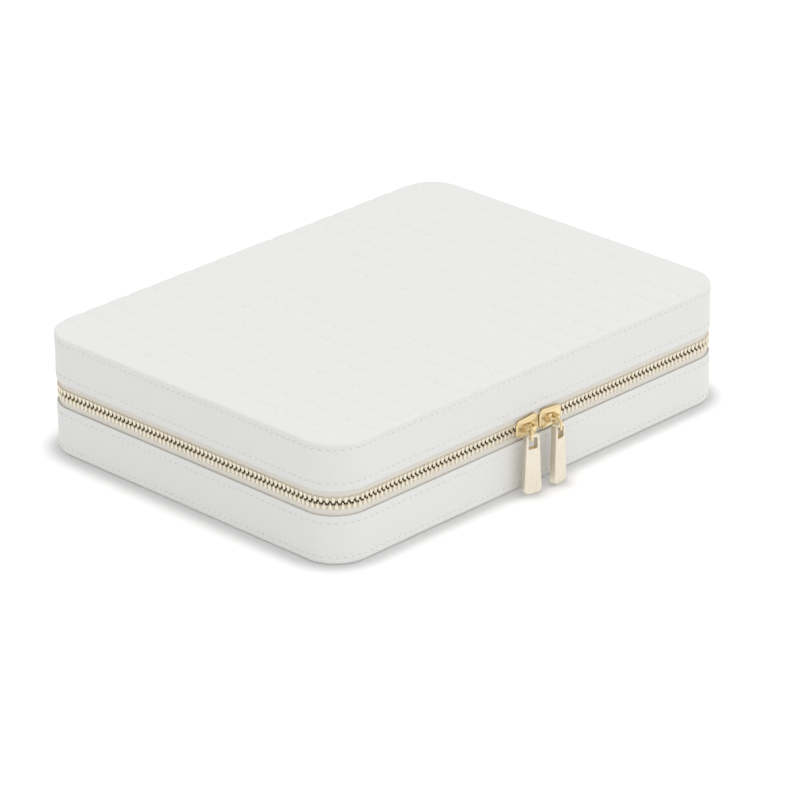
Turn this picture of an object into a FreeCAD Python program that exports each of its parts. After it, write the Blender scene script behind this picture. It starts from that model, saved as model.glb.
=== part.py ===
import FreeCAD, Part

# A zip-around jewelry case: a quilted leather lid on a divided base, joined by a leather spine and a zip.
# Millimetres. The origin is the middle of the underside, +X runs along the front, the front faces -Y.

import math
import os
from types import SimpleNamespace

import Sketcher
from FreeCAD import Placement, Rotation, Vector

# Driving sizes: a cell's name, its number and what it measures.
SIZES = [
    ("case_width", 250, "outside, along the front"),
    ("case_depth", 187, "outside, front to back"),
    ("case_height", 57, "outside, from the underside to the top of the quilting"),
    ("corner_radius", 18, "upright corners, outside"),
    ("leather", 1.2, "side bands"),
    ("panel", 1.6, "top and bottom leather panels"),
    ("panel_round", 1.3, "rounding along the rims of those panels"),
    ("tape", 0.6, "zip tape and spine"),
    ("core", 3.0, "stiff wall core"),
    ("lining", 1.2, "lining of walls, floor and ceiling"),
    ("board", 2.5, "stiff boards of floor and lid"),
    ("foam", 3.0, "pad under the quilting"),
    ("zip_level", 29.1, "middle line of the zip above the underside"),
    ("zip_gap", 11.4, "open height between the two side bands"),
    ("tape_hold", 8.0, "width of tape held behind a side band"),
    ("rim_gap", 0.4, "between the lined rims of base and closed lid"),
    ("quilt_pitch", 13.2, "between neighbouring sewn lines"),
    ("quilt_band", 36.8, "plain band between the two quilted fields"),
    ("quilt_margin", 10.0, "least distance from a sewn line to the side"),
    ("quilt_depth", 0.7, "how far a sewn line sinks"),
    ("quilt_round", 3.0, "radius of a sewn groove"),
    ("tooth_pitch", 2.54, "between neighbouring teeth of one row"),
    ("tooth_width", 1.0, "along the zip"),
    ("tooth_thick", 2.4, "through the tape"),
    ("tooth_reach", 3.3, "from the zip line to a tooth's foot"),
    ("tooth_bite", 0.45, "how far a tooth's head passes the zip line"),
    ("tooth_shoulder", 0.7, "from the zip line to where the head starts"),
    ("tip_thick", 1.7, "thickness of a head at its tip"),
    ("crimp_play", 0.05, "between a tooth's legs and the tape"),
    ("tape_edge", 1.2, "from the zip line to the edge of a tape"),
    ("parting_rise", 1.2, "how far each row stands off the zip line where the sliders meet"),
    ("parting_margin", 0.3, "how far the parted stretch runs past a slider"),
    ("spine_width", 156, "leather spine, along the back"),
    ("spine_play", 1.0, "between the spine and the end of a tape"),
    ("spine_tuck", 0.2, "between the spine's bow and a side band"),
    ("hinge_out", 0.4, "how far the hinge line lies outside the back"),
    ("stop_length", 2.4, "end stop, along the zip"),
    ("stop_setback", 0.4, "from the end of the tape to the stop"),
    ("stop_gap", 0.3, "between a stop and the zip line"),
    ("slider_length", 14.0, "slider body, along the zip"),
    ("slider_gap", 0.6, "between the two sliders"),
    ("slider_plate", 1.1, "thickness of a slider's plates"),
    ("slider_play", 0.15, "between a slider and the teeth"),
    ("slider_flange", 0.75, "thickness of a slider's flanges"),
    ("flange_play", 0.3, "between a flange and the tape"),
    ("wedge_height", 0.9, "divider between the rows in a slider's mouth"),
    ("wedge_length", 4.0, "the same, along the zip"),
    ("crown_length", 4.6, "loop on a slider's front, along the zip"),
    ("crown_width", 2.0, "the same, upright"),
    ("crown_leg", 1.1, "thickness of the loop's legs"),
    ("crown_bar", 1.0, "thickness of the loop's bar"),
    ("crown_room", 2.4, "clear room under the bar"),
    ("crown_chamfer", 1.0, "bevel of the loop's shoulders"),
    ("link_wire", 1.1, "wire of the link between crown and pull"),
    ("link_reach", 8.8, "from the crown to the link's outer end, between wire middles"),
    ("link_drop", 2.65, "from the zip line down to the link's lower wire"),
    ("link_corner", 1.1, "bend of the wire"),
    ("link_play", 0.1, "between the link and the top of the crown's bar"),
    ("left_link_yaw", -42, "turn of the left link, in degrees"),
    ("right_link_yaw", -24, "turn of the right link"),
    ("left_pull_yaw", -16, "turn of the left pull's face"),
    ("right_pull_yaw", 8, "turn of the right pull's face"),
    ("pull_seat", 5.5, "from the crown to the middle of a pull, along the link"),
    ("pull_thick", 3.2, "thickness of a pull"),
    ("pull_top_width", 6.5, "width at the top"),
    ("pull_end_width", 8.9, "width at the lower end"),
    ("pull_bar", 1.6, "bar above the pull's window"),
    ("pull_play", 0.05, "between that bar and the link's wire"),
    ("pull_floor_gap", 0.5, "between a pull's lower end and the ground"),
    ("pull_corner", 2.0, "rounding of the lower corners"),
    ("pull_top_corner", 1.0, "rounding of the upper corners"),
    ("pull_edge", 0.4, "rounding of the face edges"),
    ("window_width", 4.3, "window in a pull"),
    ("window_height", 5.1, "the same, upright"),
    ("divider", 3.0, "thickness of a divider"),
    ("divider_rise", 16.5, "height of the dividers"),
    ("ring_bank_width", 78, "length of the ring rolls"),
    ("roll_count", 6, "number of ring rolls"),
    ("roll_pitch", 17.8, "between neighbouring ring rolls"),
    ("roll_height", 16, "height of a ring roll"),
    ("roll_round", 8.0, "rounding of a ring roll's top"),
    ("soft_gap", 0.3, "clearance round a soft piece"),
    ("mirror_width", 96, "mirror glass, along X"),
    ("mirror_depth", 140, "mirror glass, along Y"),
    ("mirror_thick", 2.0, "mirror glass"),
    ("mirror_margin", 7.0, "from the lid's lined wall to the mirror's frame"),
    ("mirror_play", 0.15, "round the glass in its frame"),
    ("frame_border", 6.0, "frame outside the glass"),
    ("frame_lip", 2.5, "frame over the glass"),
    ("frame_face", 0.8, "thickness of that lip"),
    ("frame_corner", 8.0, "corner of the frame"),
    ("lid_field_left", 10, "left end of the necklace bar and the pocket"),
    ("lid_field_width", 96, "their length"),
    ("necklace_front", 7.5, "from the lid's lined front wall to the necklace bar"),
    ("necklace_width", 14, "necklace bar, along Y"),
    ("necklace_thick", 2.0, "necklace bar"),
    ("knob_count", 6, "necklace knobs"),
    ("knob_stem", 2.4, "diameter of a knob's stem"),
    ("knob_stem_length", 4.6, "length of that stem"),
    ("knob_head", 5.6, "diameter of a knob's head"),
    ("knob_head_thick", 1.4, "thickness of that head"),
    ("pocket_front", 2.0, "open edge of the pocket, along Y"),
    ("pocket_length", 78, "pocket, along Y"),
    ("pocket_bulge", 6.2, "how far the pocket stands off the ceiling"),
    ("pocket_cloth", 1.0, "thickness of its cloth"),
    ("pocket_seam", 3.0, "width of its sewn edges"),
    ("pocket_corner", 6.0, "corner of the pocket"),
    ("hem", 1.4, "elastic hem along the pocket's open edge"),
]

doc = FreeCAD.newDocument("jewelry_case")
sheet = doc.addObject("Spreadsheet::Sheet", "Sizes")
parts = {}


class Size:
    """A length that carries both its number and the sheet expression that gives it."""

    def __init__(self, number, text):
        self.number = float(number)
        self.text = text

    @staticmethod
    def of(value):
        """Returns the value itself if it is a Size, or a plain number as one."""
        return value if isinstance(value, Size) else Size(value, f"({float(value)})")

    def joined(self, sign, other, number):
        return Size(number, f"({self.text} {sign} {other.text})")

    def __add__(self, other):
        other = Size.of(other)
        return self.joined("+", other, self.number + other.number)

    def __sub__(self, other):
        other = Size.of(other)
        return self.joined("-", other, self.number - other.number)

    def __mul__(self, other):
        other = Size.of(other)
        return self.joined("*", other, self.number * other.number)

    def __truediv__(self, other):
        other = Size.of(other)
        return self.joined("/", other, self.number / other.number)

    def __radd__(self, other):
        return Size.of(other) + self

    def __rsub__(self, other):
        return Size.of(other) - self

    def __rmul__(self, other):
        return Size.of(other) * self

    def __neg__(self):
        return Size.of(0) - self


def sine(angle):
    """Returns the sine of a size in degrees."""
    return Size(math.sin(math.radians(angle.number)), f"sin({angle.text})")


def cosine(angle):
    """Returns the cosine of a size in degrees."""
    return Size(math.cos(math.radians(angle.number)), f"cos({angle.text})")


def whole(ratio):
    """Returns a size rounded down to a whole number."""
    return Size(math.floor(ratio.number), f"floor({ratio.text})")


def fill_sheet():
    """Writes the driving sizes into the sheet and returns them by name."""
    cells = {}
    for row, (name, number, meaning) in enumerate(SIZES, start=1):
        sheet.set(f"A{row}", meaning)
        sheet.set(f"B{row}", str(number))
        sheet.setAlias(f"B{row}", name)
        cells[name] = Size(number, f"Sizes.{name}")
    doc.recompute()
    return SimpleNamespace(**cells)


size = fill_sheet()

# Levels above the underside, and the layers of a wall counted in from the outside.
base_edge = size.zip_level - size.zip_gap / 2
lid_edge = size.zip_level + size.zip_gap / 2
board_top = size.panel + size.board
floor = board_top + size.lining
lid_board = size.case_height - size.panel - size.foam - size.board
ceiling = lid_board - size.lining
base_rim = size.zip_level - size.rim_gap / 2
lid_rim = size.zip_level + size.rim_gap / 2
outside = Size.of(0)
under_leather = size.leather
under_tape = size.leather + size.tape
under_core = under_tape + size.core
room = under_core + size.lining
room_half_width = size.case_width / 2 - room
room_half_depth = size.case_depth / 2 - room


def new_body(name):
    """Starts a body that is handed in as the sub-part of that name."""
    body = doc.addObject("PartDesign::Body", name)
    body.Label = name
    parts[name] = body
    return body


def new_sketch(body, role, offset):
    """Starts a sketch on one of the body's origin planes, moved along that plane's normal."""
    sketch = body.newObject("Sketcher::SketchObject", f"{body.Name}_sketch")
    plane = next(feature for feature in body.Origin.OriginFeatures if feature.Role == role)
    sketch.AttachmentSupport = [(plane, "")]
    sketch.MapMode = "FlatFace"
    sketch.setExpression("AttachmentOffset.Base.z", Size.of(offset).text)
    return sketch


def constrain(sketch, name, kind, where, value):
    """Adds one dimension to a sketch and binds it to the sheet."""
    value = Size.of(value)
    index = sketch.addConstraint(Sketcher.Constraint(kind, *where, value.number))
    sketch.renameConstraint(index, name)
    sketch.setExpression(f"Constraints.{name}", value.text)


def from_origin(sketch, name, kind, geometry, value, point=1):
    """Binds one coordinate of an end of a line, measured from the sketch's origin."""
    constrain(sketch, name, kind, (-1, 1, geometry, point), value)


def draw_polygon(sketch, tag, corners):
    """Draws a closed polygon with both coordinates of every corner bound."""
    first = sketch.GeometryCount
    corners = [(Size.of(across), Size.of(up)) for across, up in corners]
    count = len(corners)
    spots = [Vector(across.number, up.number, 0) for across, up in corners]
    for k in range(count):
        sketch.addGeometry(Part.LineSegment(spots[k], spots[(k + 1) % count]))
    for k, (across, up) in enumerate(corners):
        following = first + (k + 1) % count
        sketch.addConstraint(Sketcher.Constraint("Coincident", first + k, 2, following, 1))
        from_origin(sketch, f"{tag}_across_{k}", "DistanceX", first + k, across)
        from_origin(sketch, f"{tag}_up_{k}", "DistanceY", first + k, up)


def draw_rounded(sketch, tag, left, right, low, high, radius):
    """Draws a rounded rectangle between four bound sides."""
    first = sketch.GeometryCount
    x0, x1, y0, y1 = (Size.of(side).number for side in (left, right, low, high))
    r = Size.of(radius).number
    quarter = math.pi / 2
    straights = [
        ((x0 + r, y0), (x1 - r, y0)),
        ((x1, y0 + r), (x1, y1 - r)),
        ((x1 - r, y1), (x0 + r, y1)),
        ((x0, y1 - r), (x0, y0 + r)),
    ]
    middles = [(x1 - r, y0 + r), (x1 - r, y1 - r), (x0 + r, y1 - r), (x0 + r, y0 + r)]
    for k in range(4):
        start, end = straights[k]
        sketch.addGeometry(Part.LineSegment(Vector(*start), Vector(*end)))
        circle = Part.Circle(Vector(*middles[k]), Vector(0, 0, 1), r)
        sketch.addGeometry(Part.ArcOfCircle(circle, (k - 1) * quarter, k * quarter))
    for k in range(8):
        sketch.addConstraint(Sketcher.Constraint("Tangent", first + k, 2, first + (k + 1) % 8, 1))
    for k in (0, 4):
        sketch.addConstraint(Sketcher.Constraint("Horizontal", first + k))
    for k in (2, 6):
        sketch.addConstraint(Sketcher.Constraint("Vertical", first + k))
    for k in (3, 5, 7):
        sketch.addConstraint(Sketcher.Constraint("Equal", first + 1, first + k))
    from_origin(sketch, f"{tag}_left", "DistanceX", first + 6, left)
    from_origin(sketch, f"{tag}_right", "DistanceX", first + 2, right)
    from_origin(sketch, f"{tag}_low", "DistanceY", first, low)
    from_origin(sketch, f"{tag}_high", "DistanceY", first + 4, high)
    constrain(sketch, f"{tag}_corner", "Radius", (first + 1,), radius)


def draw_case(sketch, tag, inset):
    """Draws the case's outline, some layers in from its outside."""
    half_width = size.case_width / 2 - inset
    half_depth = size.case_depth / 2 - inset
    draw_rounded(sketch, tag, -half_width, half_width, -half_depth, half_depth, size.corner_radius - inset)


def pad(body, sketch, length):
    """Pads a sketch along its normal and returns the feature."""
    feature = body.newObject("PartDesign::Pad", f"{body.Name}_pad")
    feature.Profile = sketch
    feature.setExpression("Length", Size.of(length).text)
    return feature


def pocket(body, sketch, length):
    """Cuts a sketch against its normal, and makes sure that it cut something."""
    doc.recompute()
    before = body.Shape.Volume
    feature = body.newObject("PartDesign::Pocket", f"{body.Name}_pocket")
    feature.Profile = sketch
    feature.setExpression("Length", Size.of(length).text)
    doc.recompute()
    if not body.Shape.Volume < before:
        raise RuntimeError(f"a pocket of {body.Label} cuts nothing")
    return feature


def fillet(body, radius, chosen):
    """Rounds the edges of a body that the given test picks."""
    doc.recompute()
    tip = body.Tip
    names = [f"Edge{k}" for k, edge in enumerate(tip.Shape.Edges, start=1) if chosen(edge)]
    feature = body.newObject("PartDesign::Fillet", f"{body.Name}_fillet")
    feature.Base = (tip, names)
    feature.setExpression("Radius", Size.of(radius).text)
    return feature


def at_height(level):
    """Returns a test for edges that lie flat at that height."""
    def chosen(edge):
        box = edge.BoundBox
        return abs(box.ZMin - level.number) < 1e-6 and abs(box.ZMax - level.number) < 1e-6
    return chosen


def plate(name, inset, low, high):
    """Makes a plate with the case's outline between two levels."""
    body = new_body(name)
    sketch = new_sketch(body, "XY_Plane", low)
    draw_case(sketch, "rim", inset)
    pad(body, sketch, high - low)
    return body


def wall(name, *stages):
    """Makes a wall round the case from stages of (outer inset, inner inset, low, high)."""
    body = new_body(name)
    for outer, inner, low, high in stages:
        sketch = new_sketch(body, "XY_Plane", low)
        draw_case(sketch, "outer", outer)
        draw_case(sketch, "inner", inner)
        pad(body, sketch, high - low)
    return body


def block(name, left, right, front, back, low, high):
    """Makes a box between six bound sides."""
    box = doc.addObject("Part::Box", name)
    box.Label = name
    for side, start, end in (("Length", left, right), ("Width", front, back), ("Height", low, high)):
        box.setExpression(side, (Size.of(end) - start).text)
    for axis, start in (("x", left), ("y", front), ("z", low)):
        box.setExpression(f"Placement.Base.{axis}", Size.of(start).text)
    parts[name] = box
    return box


def feature_of(name, solids):
    """Hands in a group of like solids as one sub-part."""
    feature = doc.addObject("Part::Feature", name)
    feature.Label = name
    feature.Shape = Part.makeCompound(solids)
    feature.Placement = Placement()
    parts[name] = feature


def build_base_shell():
    """Leather, boards, wall core and linings of the base."""
    bottom = plate("base_bottom_panel", outside, Size.of(0), size.panel)
    fillet(bottom, size.panel_round, at_height(Size.of(0)))
    wall("base_side_leather", (outside, under_leather, size.panel, base_edge))
    plate("base_floor_board", under_leather, size.panel, board_top)
    tape_foot = base_edge - size.tape_hold
    wall(
        "base_wall_core",
        (under_leather, under_core, board_top, tape_foot),
        (under_tape, under_core, tape_foot, base_edge),
    )
    plate("base_floor_lining", under_core, board_top, floor)
    wall("base_wall_lining", (under_core, room, floor, base_rim))


def quilt(body):
    """Sinks the sewn lines of both quilted fields into the lid's top panel."""
    per_field = whole((size.case_width / 2 - size.quilt_band / 2 - size.quilt_margin) / size.quilt_pitch) + 1
    x_axis = next(feature for feature in body.Origin.OriginFeatures if feature.Role == "X_Axis")
    for side in (-1, 1):
        sketch = new_sketch(body, "XZ_Plane", size.case_depth / 2)
        middle = side * size.quilt_band / 2
        height = size.case_height + size.quilt_round - size.quilt_depth
        spot = Vector(middle.number, height.number, 0)
        sketch.addGeometry(Part.Circle(spot, Vector(0, 0, 1), size.quilt_round.number))
        from_origin(sketch, "line_across", "DistanceX", 0, middle, point=3)
        from_origin(sketch, "line_up", "DistanceY", 0, height, point=3)
        constrain(sketch, "groove", "Radius", (0,), size.quilt_round)
        groove = pocket(body, sketch, size.case_depth)
        pattern = body.newObject("PartDesign::LinearPattern", f"{body.Name}_lines")
        pattern.Originals = [groove]
        pattern.Direction = (x_axis, [""])
        pattern.Reversed = side < 0
        pattern.setExpression("Length", (size.quilt_pitch * (per_field - 1)).text)
        pattern.setExpression("Occurrences", per_field.text)
        body.Tip = pattern
        doc.recompute()


def build_lid_shell():
    """Quilted panel, foam, board, leather, wall core and linings of the lid."""
    top = plate("lid_quilted_panel", outside, size.case_height - size.panel, size.case_height)
    fillet(top, size.panel_round, at_height(size.case_height))
    quilt(top)
    pad_low = size.case_height - size.panel - size.foam
    plate("lid_foam_pad", under_leather, pad_low, size.case_height - size.panel)
    plate("lid_top_board", under_leather, lid_board, pad_low)
    wall("lid_side_leather", (outside, under_leather, lid_edge, size.case_height - size.panel))
    tape_head = lid_edge + size.tape_hold
    wall(
        "lid_wall_core",
        (under_tape, under_core, lid_edge, tape_head),
        (under_leather, under_core, tape_head, lid_board),
    )
    plate("lid_top_lining", under_core, ceiling, lid_board)
    wall("lid_wall_lining", (under_core, room, lid_rim, ceiling))


# The zip's middle surface, and how far each row stands off the zip line between the sliders.
zip_inset = size.leather + size.tape / 2
tape_end = size.spine_width / 2 + size.spine_play
parting_half = size.slider_gap / 2 + size.slider_length + size.parting_margin


def build_tapes():
    """Both zip tapes, notched where the sliders part them and open at the spine."""
    low_edge = size.zip_level - size.tape_edge
    high_edge = size.zip_level + size.tape_edge
    spans = {
        "zipper_tape_lower": (base_edge - size.tape_hold, low_edge, low_edge, -1),
        "zipper_tape_upper": (high_edge, lid_edge + size.tape_hold, high_edge, 1),
    }
    for name, (low, high, edge, away) in spans.items():
        body = wall(name, (under_leather, under_tape, low, high))
        notch = new_sketch(body, "XZ_Plane", size.case_depth / 2)
        corners = [(-parting_half, edge), (Size.of(0), edge + away * size.parting_rise), (parting_half, edge)]
        draw_polygon(notch, "notch", corners)
        pocket(body, notch, room)
        opening = new_sketch(body, "XZ_Plane", room - size.case_depth / 2)
        corners = [(-tape_end, low), (tape_end, low), (tape_end, high), (-tape_end, high)]
        draw_polygon(opening, "opening", corners)
        pocket(body, opening, room)


def zip_place(travel):
    """Returns the placement on the zip line, that far from the middle of the front towards +X."""
    radius = (size.corner_radius - zip_inset).number
    half_front = (size.case_width / 2 - size.corner_radius).number
    half_side = (size.case_depth / 2 - size.corner_radius).number
    arc = radius * math.pi / 2
    left = abs(travel)
    stretches = [
        (half_front, Vector(0, -half_side - radius, 0), 0, 0),
        (arc, Vector(half_front, -half_side, 0), 0, radius),
        (2 * half_side, Vector(half_front + radius, -half_side, 0), 90, 0),
        (arc, Vector(half_front, half_side, 0), 90, radius),
        (2 * half_front, Vector(half_front, half_side + radius, 0), 180, 0),
    ]
    for length, anchor, heading, bend in stretches:
        if left <= length:
            break
        left -= length
    if bend:
        heading += math.degrees(left / bend)
        outward = Rotation(Vector(0, 0, 1), heading).multVec(Vector(0, -bend, 0))
        spot = anchor + outward
    else:
        spot = anchor + Rotation(Vector(0, 0, 1), heading).multVec(Vector(left, 0, 0))
    side = math.copysign(1, travel)
    spot = Vector(side * spot.x, spot.y, size.zip_level.number)
    return Placement(spot, Rotation(Vector(0, 0, 1), side * heading))


def crimped(length, tip, up):
    """Returns a tuning-fork solid that grips the tape: a tooth, or a stop with its tip kept back."""
    reach = size.tooth_reach.number
    slot = (size.tape / 2 + size.crimp_play).number
    slot_end = (size.tape_edge - size.crimp_play).number
    half = size.tooth_thick.number / 2
    half_tip = size.tip_thick.number / 2
    shoulder = size.tooth_shoulder.number
    corners = [
        (-half, reach), (-slot, reach), (-slot, slot_end), (slot, slot_end), (slot, reach),
        (half, reach), (half, shoulder), (half_tip, tip), (-half_tip, tip), (-half, shoulder),
    ]
    spots = [Vector(-length / 2, through, up * along) for through, along in corners]
    face = Part.Face(Part.makePolygon(spots + spots[:1]))
    return face.extrude(Vector(length, 0, 0))


def parting(across):
    """Returns how far a row stands off the zip line, that far from the middle of the front."""
    share = 1 - abs(across) / parting_half.number
    return size.parting_rise.number * max(0, share)


def build_teeth():
    """Both rows of teeth, half a pitch apart, and a stop at each end of each row."""
    pitch = size.tooth_pitch.number
    half_front = (size.case_width / 2 - size.corner_radius).number
    quarter = (size.corner_radius - zip_inset).number * math.pi / 2
    side = (size.case_depth - 2 * size.corner_radius).number
    stop_middle = (tape_end + size.stop_setback + size.stop_length / 2).number
    stop_travel = half_front + quarter + side + quarter + half_front - stop_middle
    last = stop_travel - size.stop_length.number / 2 - pitch / 2
    bite = -size.tooth_bite.number
    for row, up, shift in (("lower", -1, 0), ("upper", 1, 0.5)):
        tooth = crimped(size.tooth_width.number, bite, up)
        count = int(last // pitch)
        travels = [(k + shift) * pitch for k in range(-count, count + 1) if abs((k + shift) * pitch) <= last]
        teeth = []
        for travel in travels:
            place = zip_place(travel)
            on_front = abs(travel) < half_front
            rise = parting(travel) if on_front else 0
            place.move(Vector(0, 0, up * rise))
            teeth.append(tooth.transformed(place.toMatrix()))
        feature_of(f"zipper_teeth_{row}", teeth)
        stop = crimped(size.stop_length.number, size.stop_gap.number, up)
        ends = [zip_place(way * stop_travel) for way in (-1, 1)]
        feature_of(f"zipper_stops_{row}", [stop.transformed(place.toMatrix()) for place in ends])


def build_spine():
    """Leather spine at the back: two sewn flanks and a bow between them, over the hinge line."""
    body = new_body("hinge_spine")
    sketch = new_sketch(body, "YZ_Plane", -size.spine_width / 2)
    outer = size.case_depth / 2 - under_leather
    inner = size.case_depth / 2 - under_tape
    low = base_edge - size.tape_hold
    high = lid_edge + size.tape_hold
    bow_low = base_edge + size.spine_tuck
    bow_high = lid_edge - size.spine_tuck
    half_chord = (bow_high - bow_low) / 2
    bow = size.leather + size.hinge_out + size.tape / 2
    radius = (half_chord * half_chord + bow * bow) / (2 * bow)
    thin_radius = radius - size.tape
    middle = Vector((outer + bow - radius).number, size.zip_level.number, 0)
    turn = math.asin(half_chord.number / radius.number)
    thin_drop = middle.x - inner.number
    thin_turn = math.acos(-thin_drop / thin_radius.number)
    thin_half = thin_radius.number * math.sin(thin_turn)
    arc = Part.ArcOfCircle(Part.Circle(middle, Vector(0, 0, 1), radius.number), -turn, turn)
    thin_circle = Part.Circle(middle, Vector(0, 0, 1), thin_radius.number)
    thin_arc = Part.ArcOfCircle(thin_circle, -thin_turn, thin_turn)
    spots = {
        "low_in": Vector(inner.number, low.number), "low_out": Vector(outer.number, low.number),
        "bow_low": Vector(outer.number, bow_low.number), "bow_high": Vector(outer.number, bow_high.number),
        "high_out": Vector(outer.number, high.number), "high_in": Vector(inner.number, high.number),
        "thin_high": Vector(inner.number, size.zip_level.number + thin_half),
        "thin_low": Vector(inner.number, size.zip_level.number - thin_half),
    }
    line = Part.LineSegment
    sketch.addGeometry(line(spots["low_in"], spots["low_out"]))
    sketch.addGeometry(line(spots["low_out"], spots["bow_low"]))
    sketch.addGeometry(arc)
    sketch.addGeometry(line(spots["bow_high"], spots["high_out"]))
    sketch.addGeometry(line(spots["high_out"], spots["high_in"]))
    sketch.addGeometry(line(spots["high_in"], spots["thin_high"]))
    sketch.addGeometry(thin_arc)
    sketch.addGeometry(line(spots["thin_low"], spots["low_in"]))
    joins = [(0, 2, 1, 1), (1, 2, 2, 1), (2, 2, 3, 1), (3, 2, 4, 1), (4, 2, 5, 1), (5, 2, 6, 2), (6, 1, 7, 1),
             (7, 2, 0, 1), (2, 3, 6, 3)]
    for join in joins:
        sketch.addConstraint(Sketcher.Constraint("Coincident", *join))
    for upright in (1, 3, 5, 7):
        sketch.addConstraint(Sketcher.Constraint("Vertical", upright))
    for flat in (0, 4):
        sketch.addConstraint(Sketcher.Constraint("Horizontal", flat))
    from_origin(sketch, "outer_low", "DistanceX", 1, outer)
    from_origin(sketch, "outer_high", "DistanceX", 3, outer)
    from_origin(sketch, "inner_high", "DistanceX", 5, inner)
    from_origin(sketch, "inner_low", "DistanceX", 7, inner)
    from_origin(sketch, "foot", "DistanceY", 0, low)
    from_origin(sketch, "head", "DistanceY", 4, high)
    from_origin(sketch, "bow_start", "DistanceY", 1, bow_low, point=2)
    from_origin(sketch, "bow_end", "DistanceY", 3, bow_high)
    constrain(sketch, "bow_radius", "Radius", (2,), radius)
    constrain(sketch, "thin_radius", "Radius", (6,), thin_radius)
    pad(body, sketch, size.spine_width)


# How far in front of the case a slider's planes lie: minus is behind the side band's face.
front_channel = size.tooth_thick / 2 + size.slider_play - zip_inset
back_channel = -zip_inset - size.tooth_thick / 2 - size.slider_play
front_flange = size.flange_play - size.leather
back_flange = -under_tape - size.flange_play
plate_front = front_channel + size.slider_plate
pivot_out = plate_front + size.crown_room / 2
crown_middle = (size.slider_gap + size.slider_length) / 2


def front_sketch(body, out):
    """Starts a sketch parallel to the front of the case, that far in front of it."""
    return new_sketch(body, "XZ_Plane", size.case_depth / 2 + out)


def build_slider_body(name, side):
    """Slider body: front and back plates with flanges, joined by the wedge in its mouth."""
    body = new_body(name)
    mouth = side * size.slider_gap / 2
    tail = side * (size.slider_gap / 2 + size.slider_length)
    tail_half = size.tooth_reach + size.slider_play + size.slider_flange
    mouth_half = tail_half + size.parting_rise
    level = size.zip_level

    def outline(up_mouth, up_tail, down_tail, down_mouth):
        return [(mouth, level + up_mouth), (tail, level + up_tail),
                (tail, level + down_tail), (mouth, level + down_mouth)]

    def layer(near, far, *shapes):
        sketch = front_sketch(body, near)
        for k, corners in enumerate(shapes):
            draw_polygon(sketch, f"shape{k}", corners)
        pad(body, sketch, far - near)

    whole_plate = outline(mouth_half, tail_half, -tail_half, -mouth_half)
    slim = size.slider_flange
    upper = outline(mouth_half, tail_half, tail_half - slim, mouth_half - slim)
    lower = outline(slim - mouth_half, slim - tail_half, -tail_half, -mouth_half)
    half_wedge = size.wedge_height / 2
    wedge = [(mouth, level - half_wedge), (mouth, level + half_wedge),
             (mouth + side * size.wedge_length, level)]
    layer(front_channel, plate_front, whole_plate)
    layer(front_flange, front_channel, upper, lower)
    layer(back_channel, front_channel, wedge)
    layer(back_channel - size.slider_plate, back_channel, whole_plate)
    layer(back_channel, back_flange, upper, lower)


def build_crown(name, side):
    """Loop on the slider's front that the link hangs from."""
    body = new_body(name)
    sketch = new_sketch(body, "XY_Plane", size.zip_level - size.crown_width / 2)
    middle = side * crown_middle
    half = size.crown_length / 2
    inner = half - size.crown_leg
    foot = -(size.case_depth / 2 + plate_front)
    under = foot - size.crown_room
    top = under - size.crown_bar
    bevel = size.crown_chamfer
    draw_polygon(sketch, "loop", [
        (middle - half, foot), (middle - half, top + bevel), (middle - half + bevel, top),
        (middle + half - bevel, top), (middle + half, top + bevel), (middle + half, foot),
        (middle + inner, foot), (middle + inner, under), (middle - inner, under), (middle - inner, foot),
    ])
    pad(body, sketch, size.crown_width)


def stand(body, across, along, up, turn):
    """Binds a body's place and its turn about the upright axis."""
    for axis, value in (("x", across), ("y", along), ("z", up)):
        body.setExpression(f"Placement.Base.{axis}", Size.of(value).text)
    body.Placement = Placement(Vector(), Rotation(Vector(0, 0, 1), turn.number))
    body.setExpression("Placement.Rotation.Angle", turn.text)


def build_link(name, side, yaw):
    """Wire link that hangs on the crown's bar and carries the pull."""
    body = new_body(name)
    path = new_sketch(body, "YZ_Plane", 0)
    high = size.crown_width / 2 + size.link_wire / 2 + size.link_play
    draw_rounded(path, "wire", -size.link_reach, 0, -size.link_drop, high, size.link_corner)
    section = new_sketch(body, "XY_Plane", 0)
    section.addGeometry(Part.Circle(Vector(), Vector(0, 0, 1), size.link_wire.number / 2))
    section.addConstraint(Sketcher.Constraint("Coincident", 0, 3, -1, 1))
    constrain(section, "wire", "Radius", (0,), size.link_wire / 2)
    doc.recompute()
    sweep = body.newObject("PartDesign::AdditivePipe", f"{name}_sweep")
    sweep.Profile = section
    sweep.Spine = (path, [f"Edge{k}" for k in range(1, len(path.Shape.Edges) + 1)])
    stand(body, side * crown_middle, -(size.case_depth / 2 + pivot_out), size.zip_level, yaw)


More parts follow.
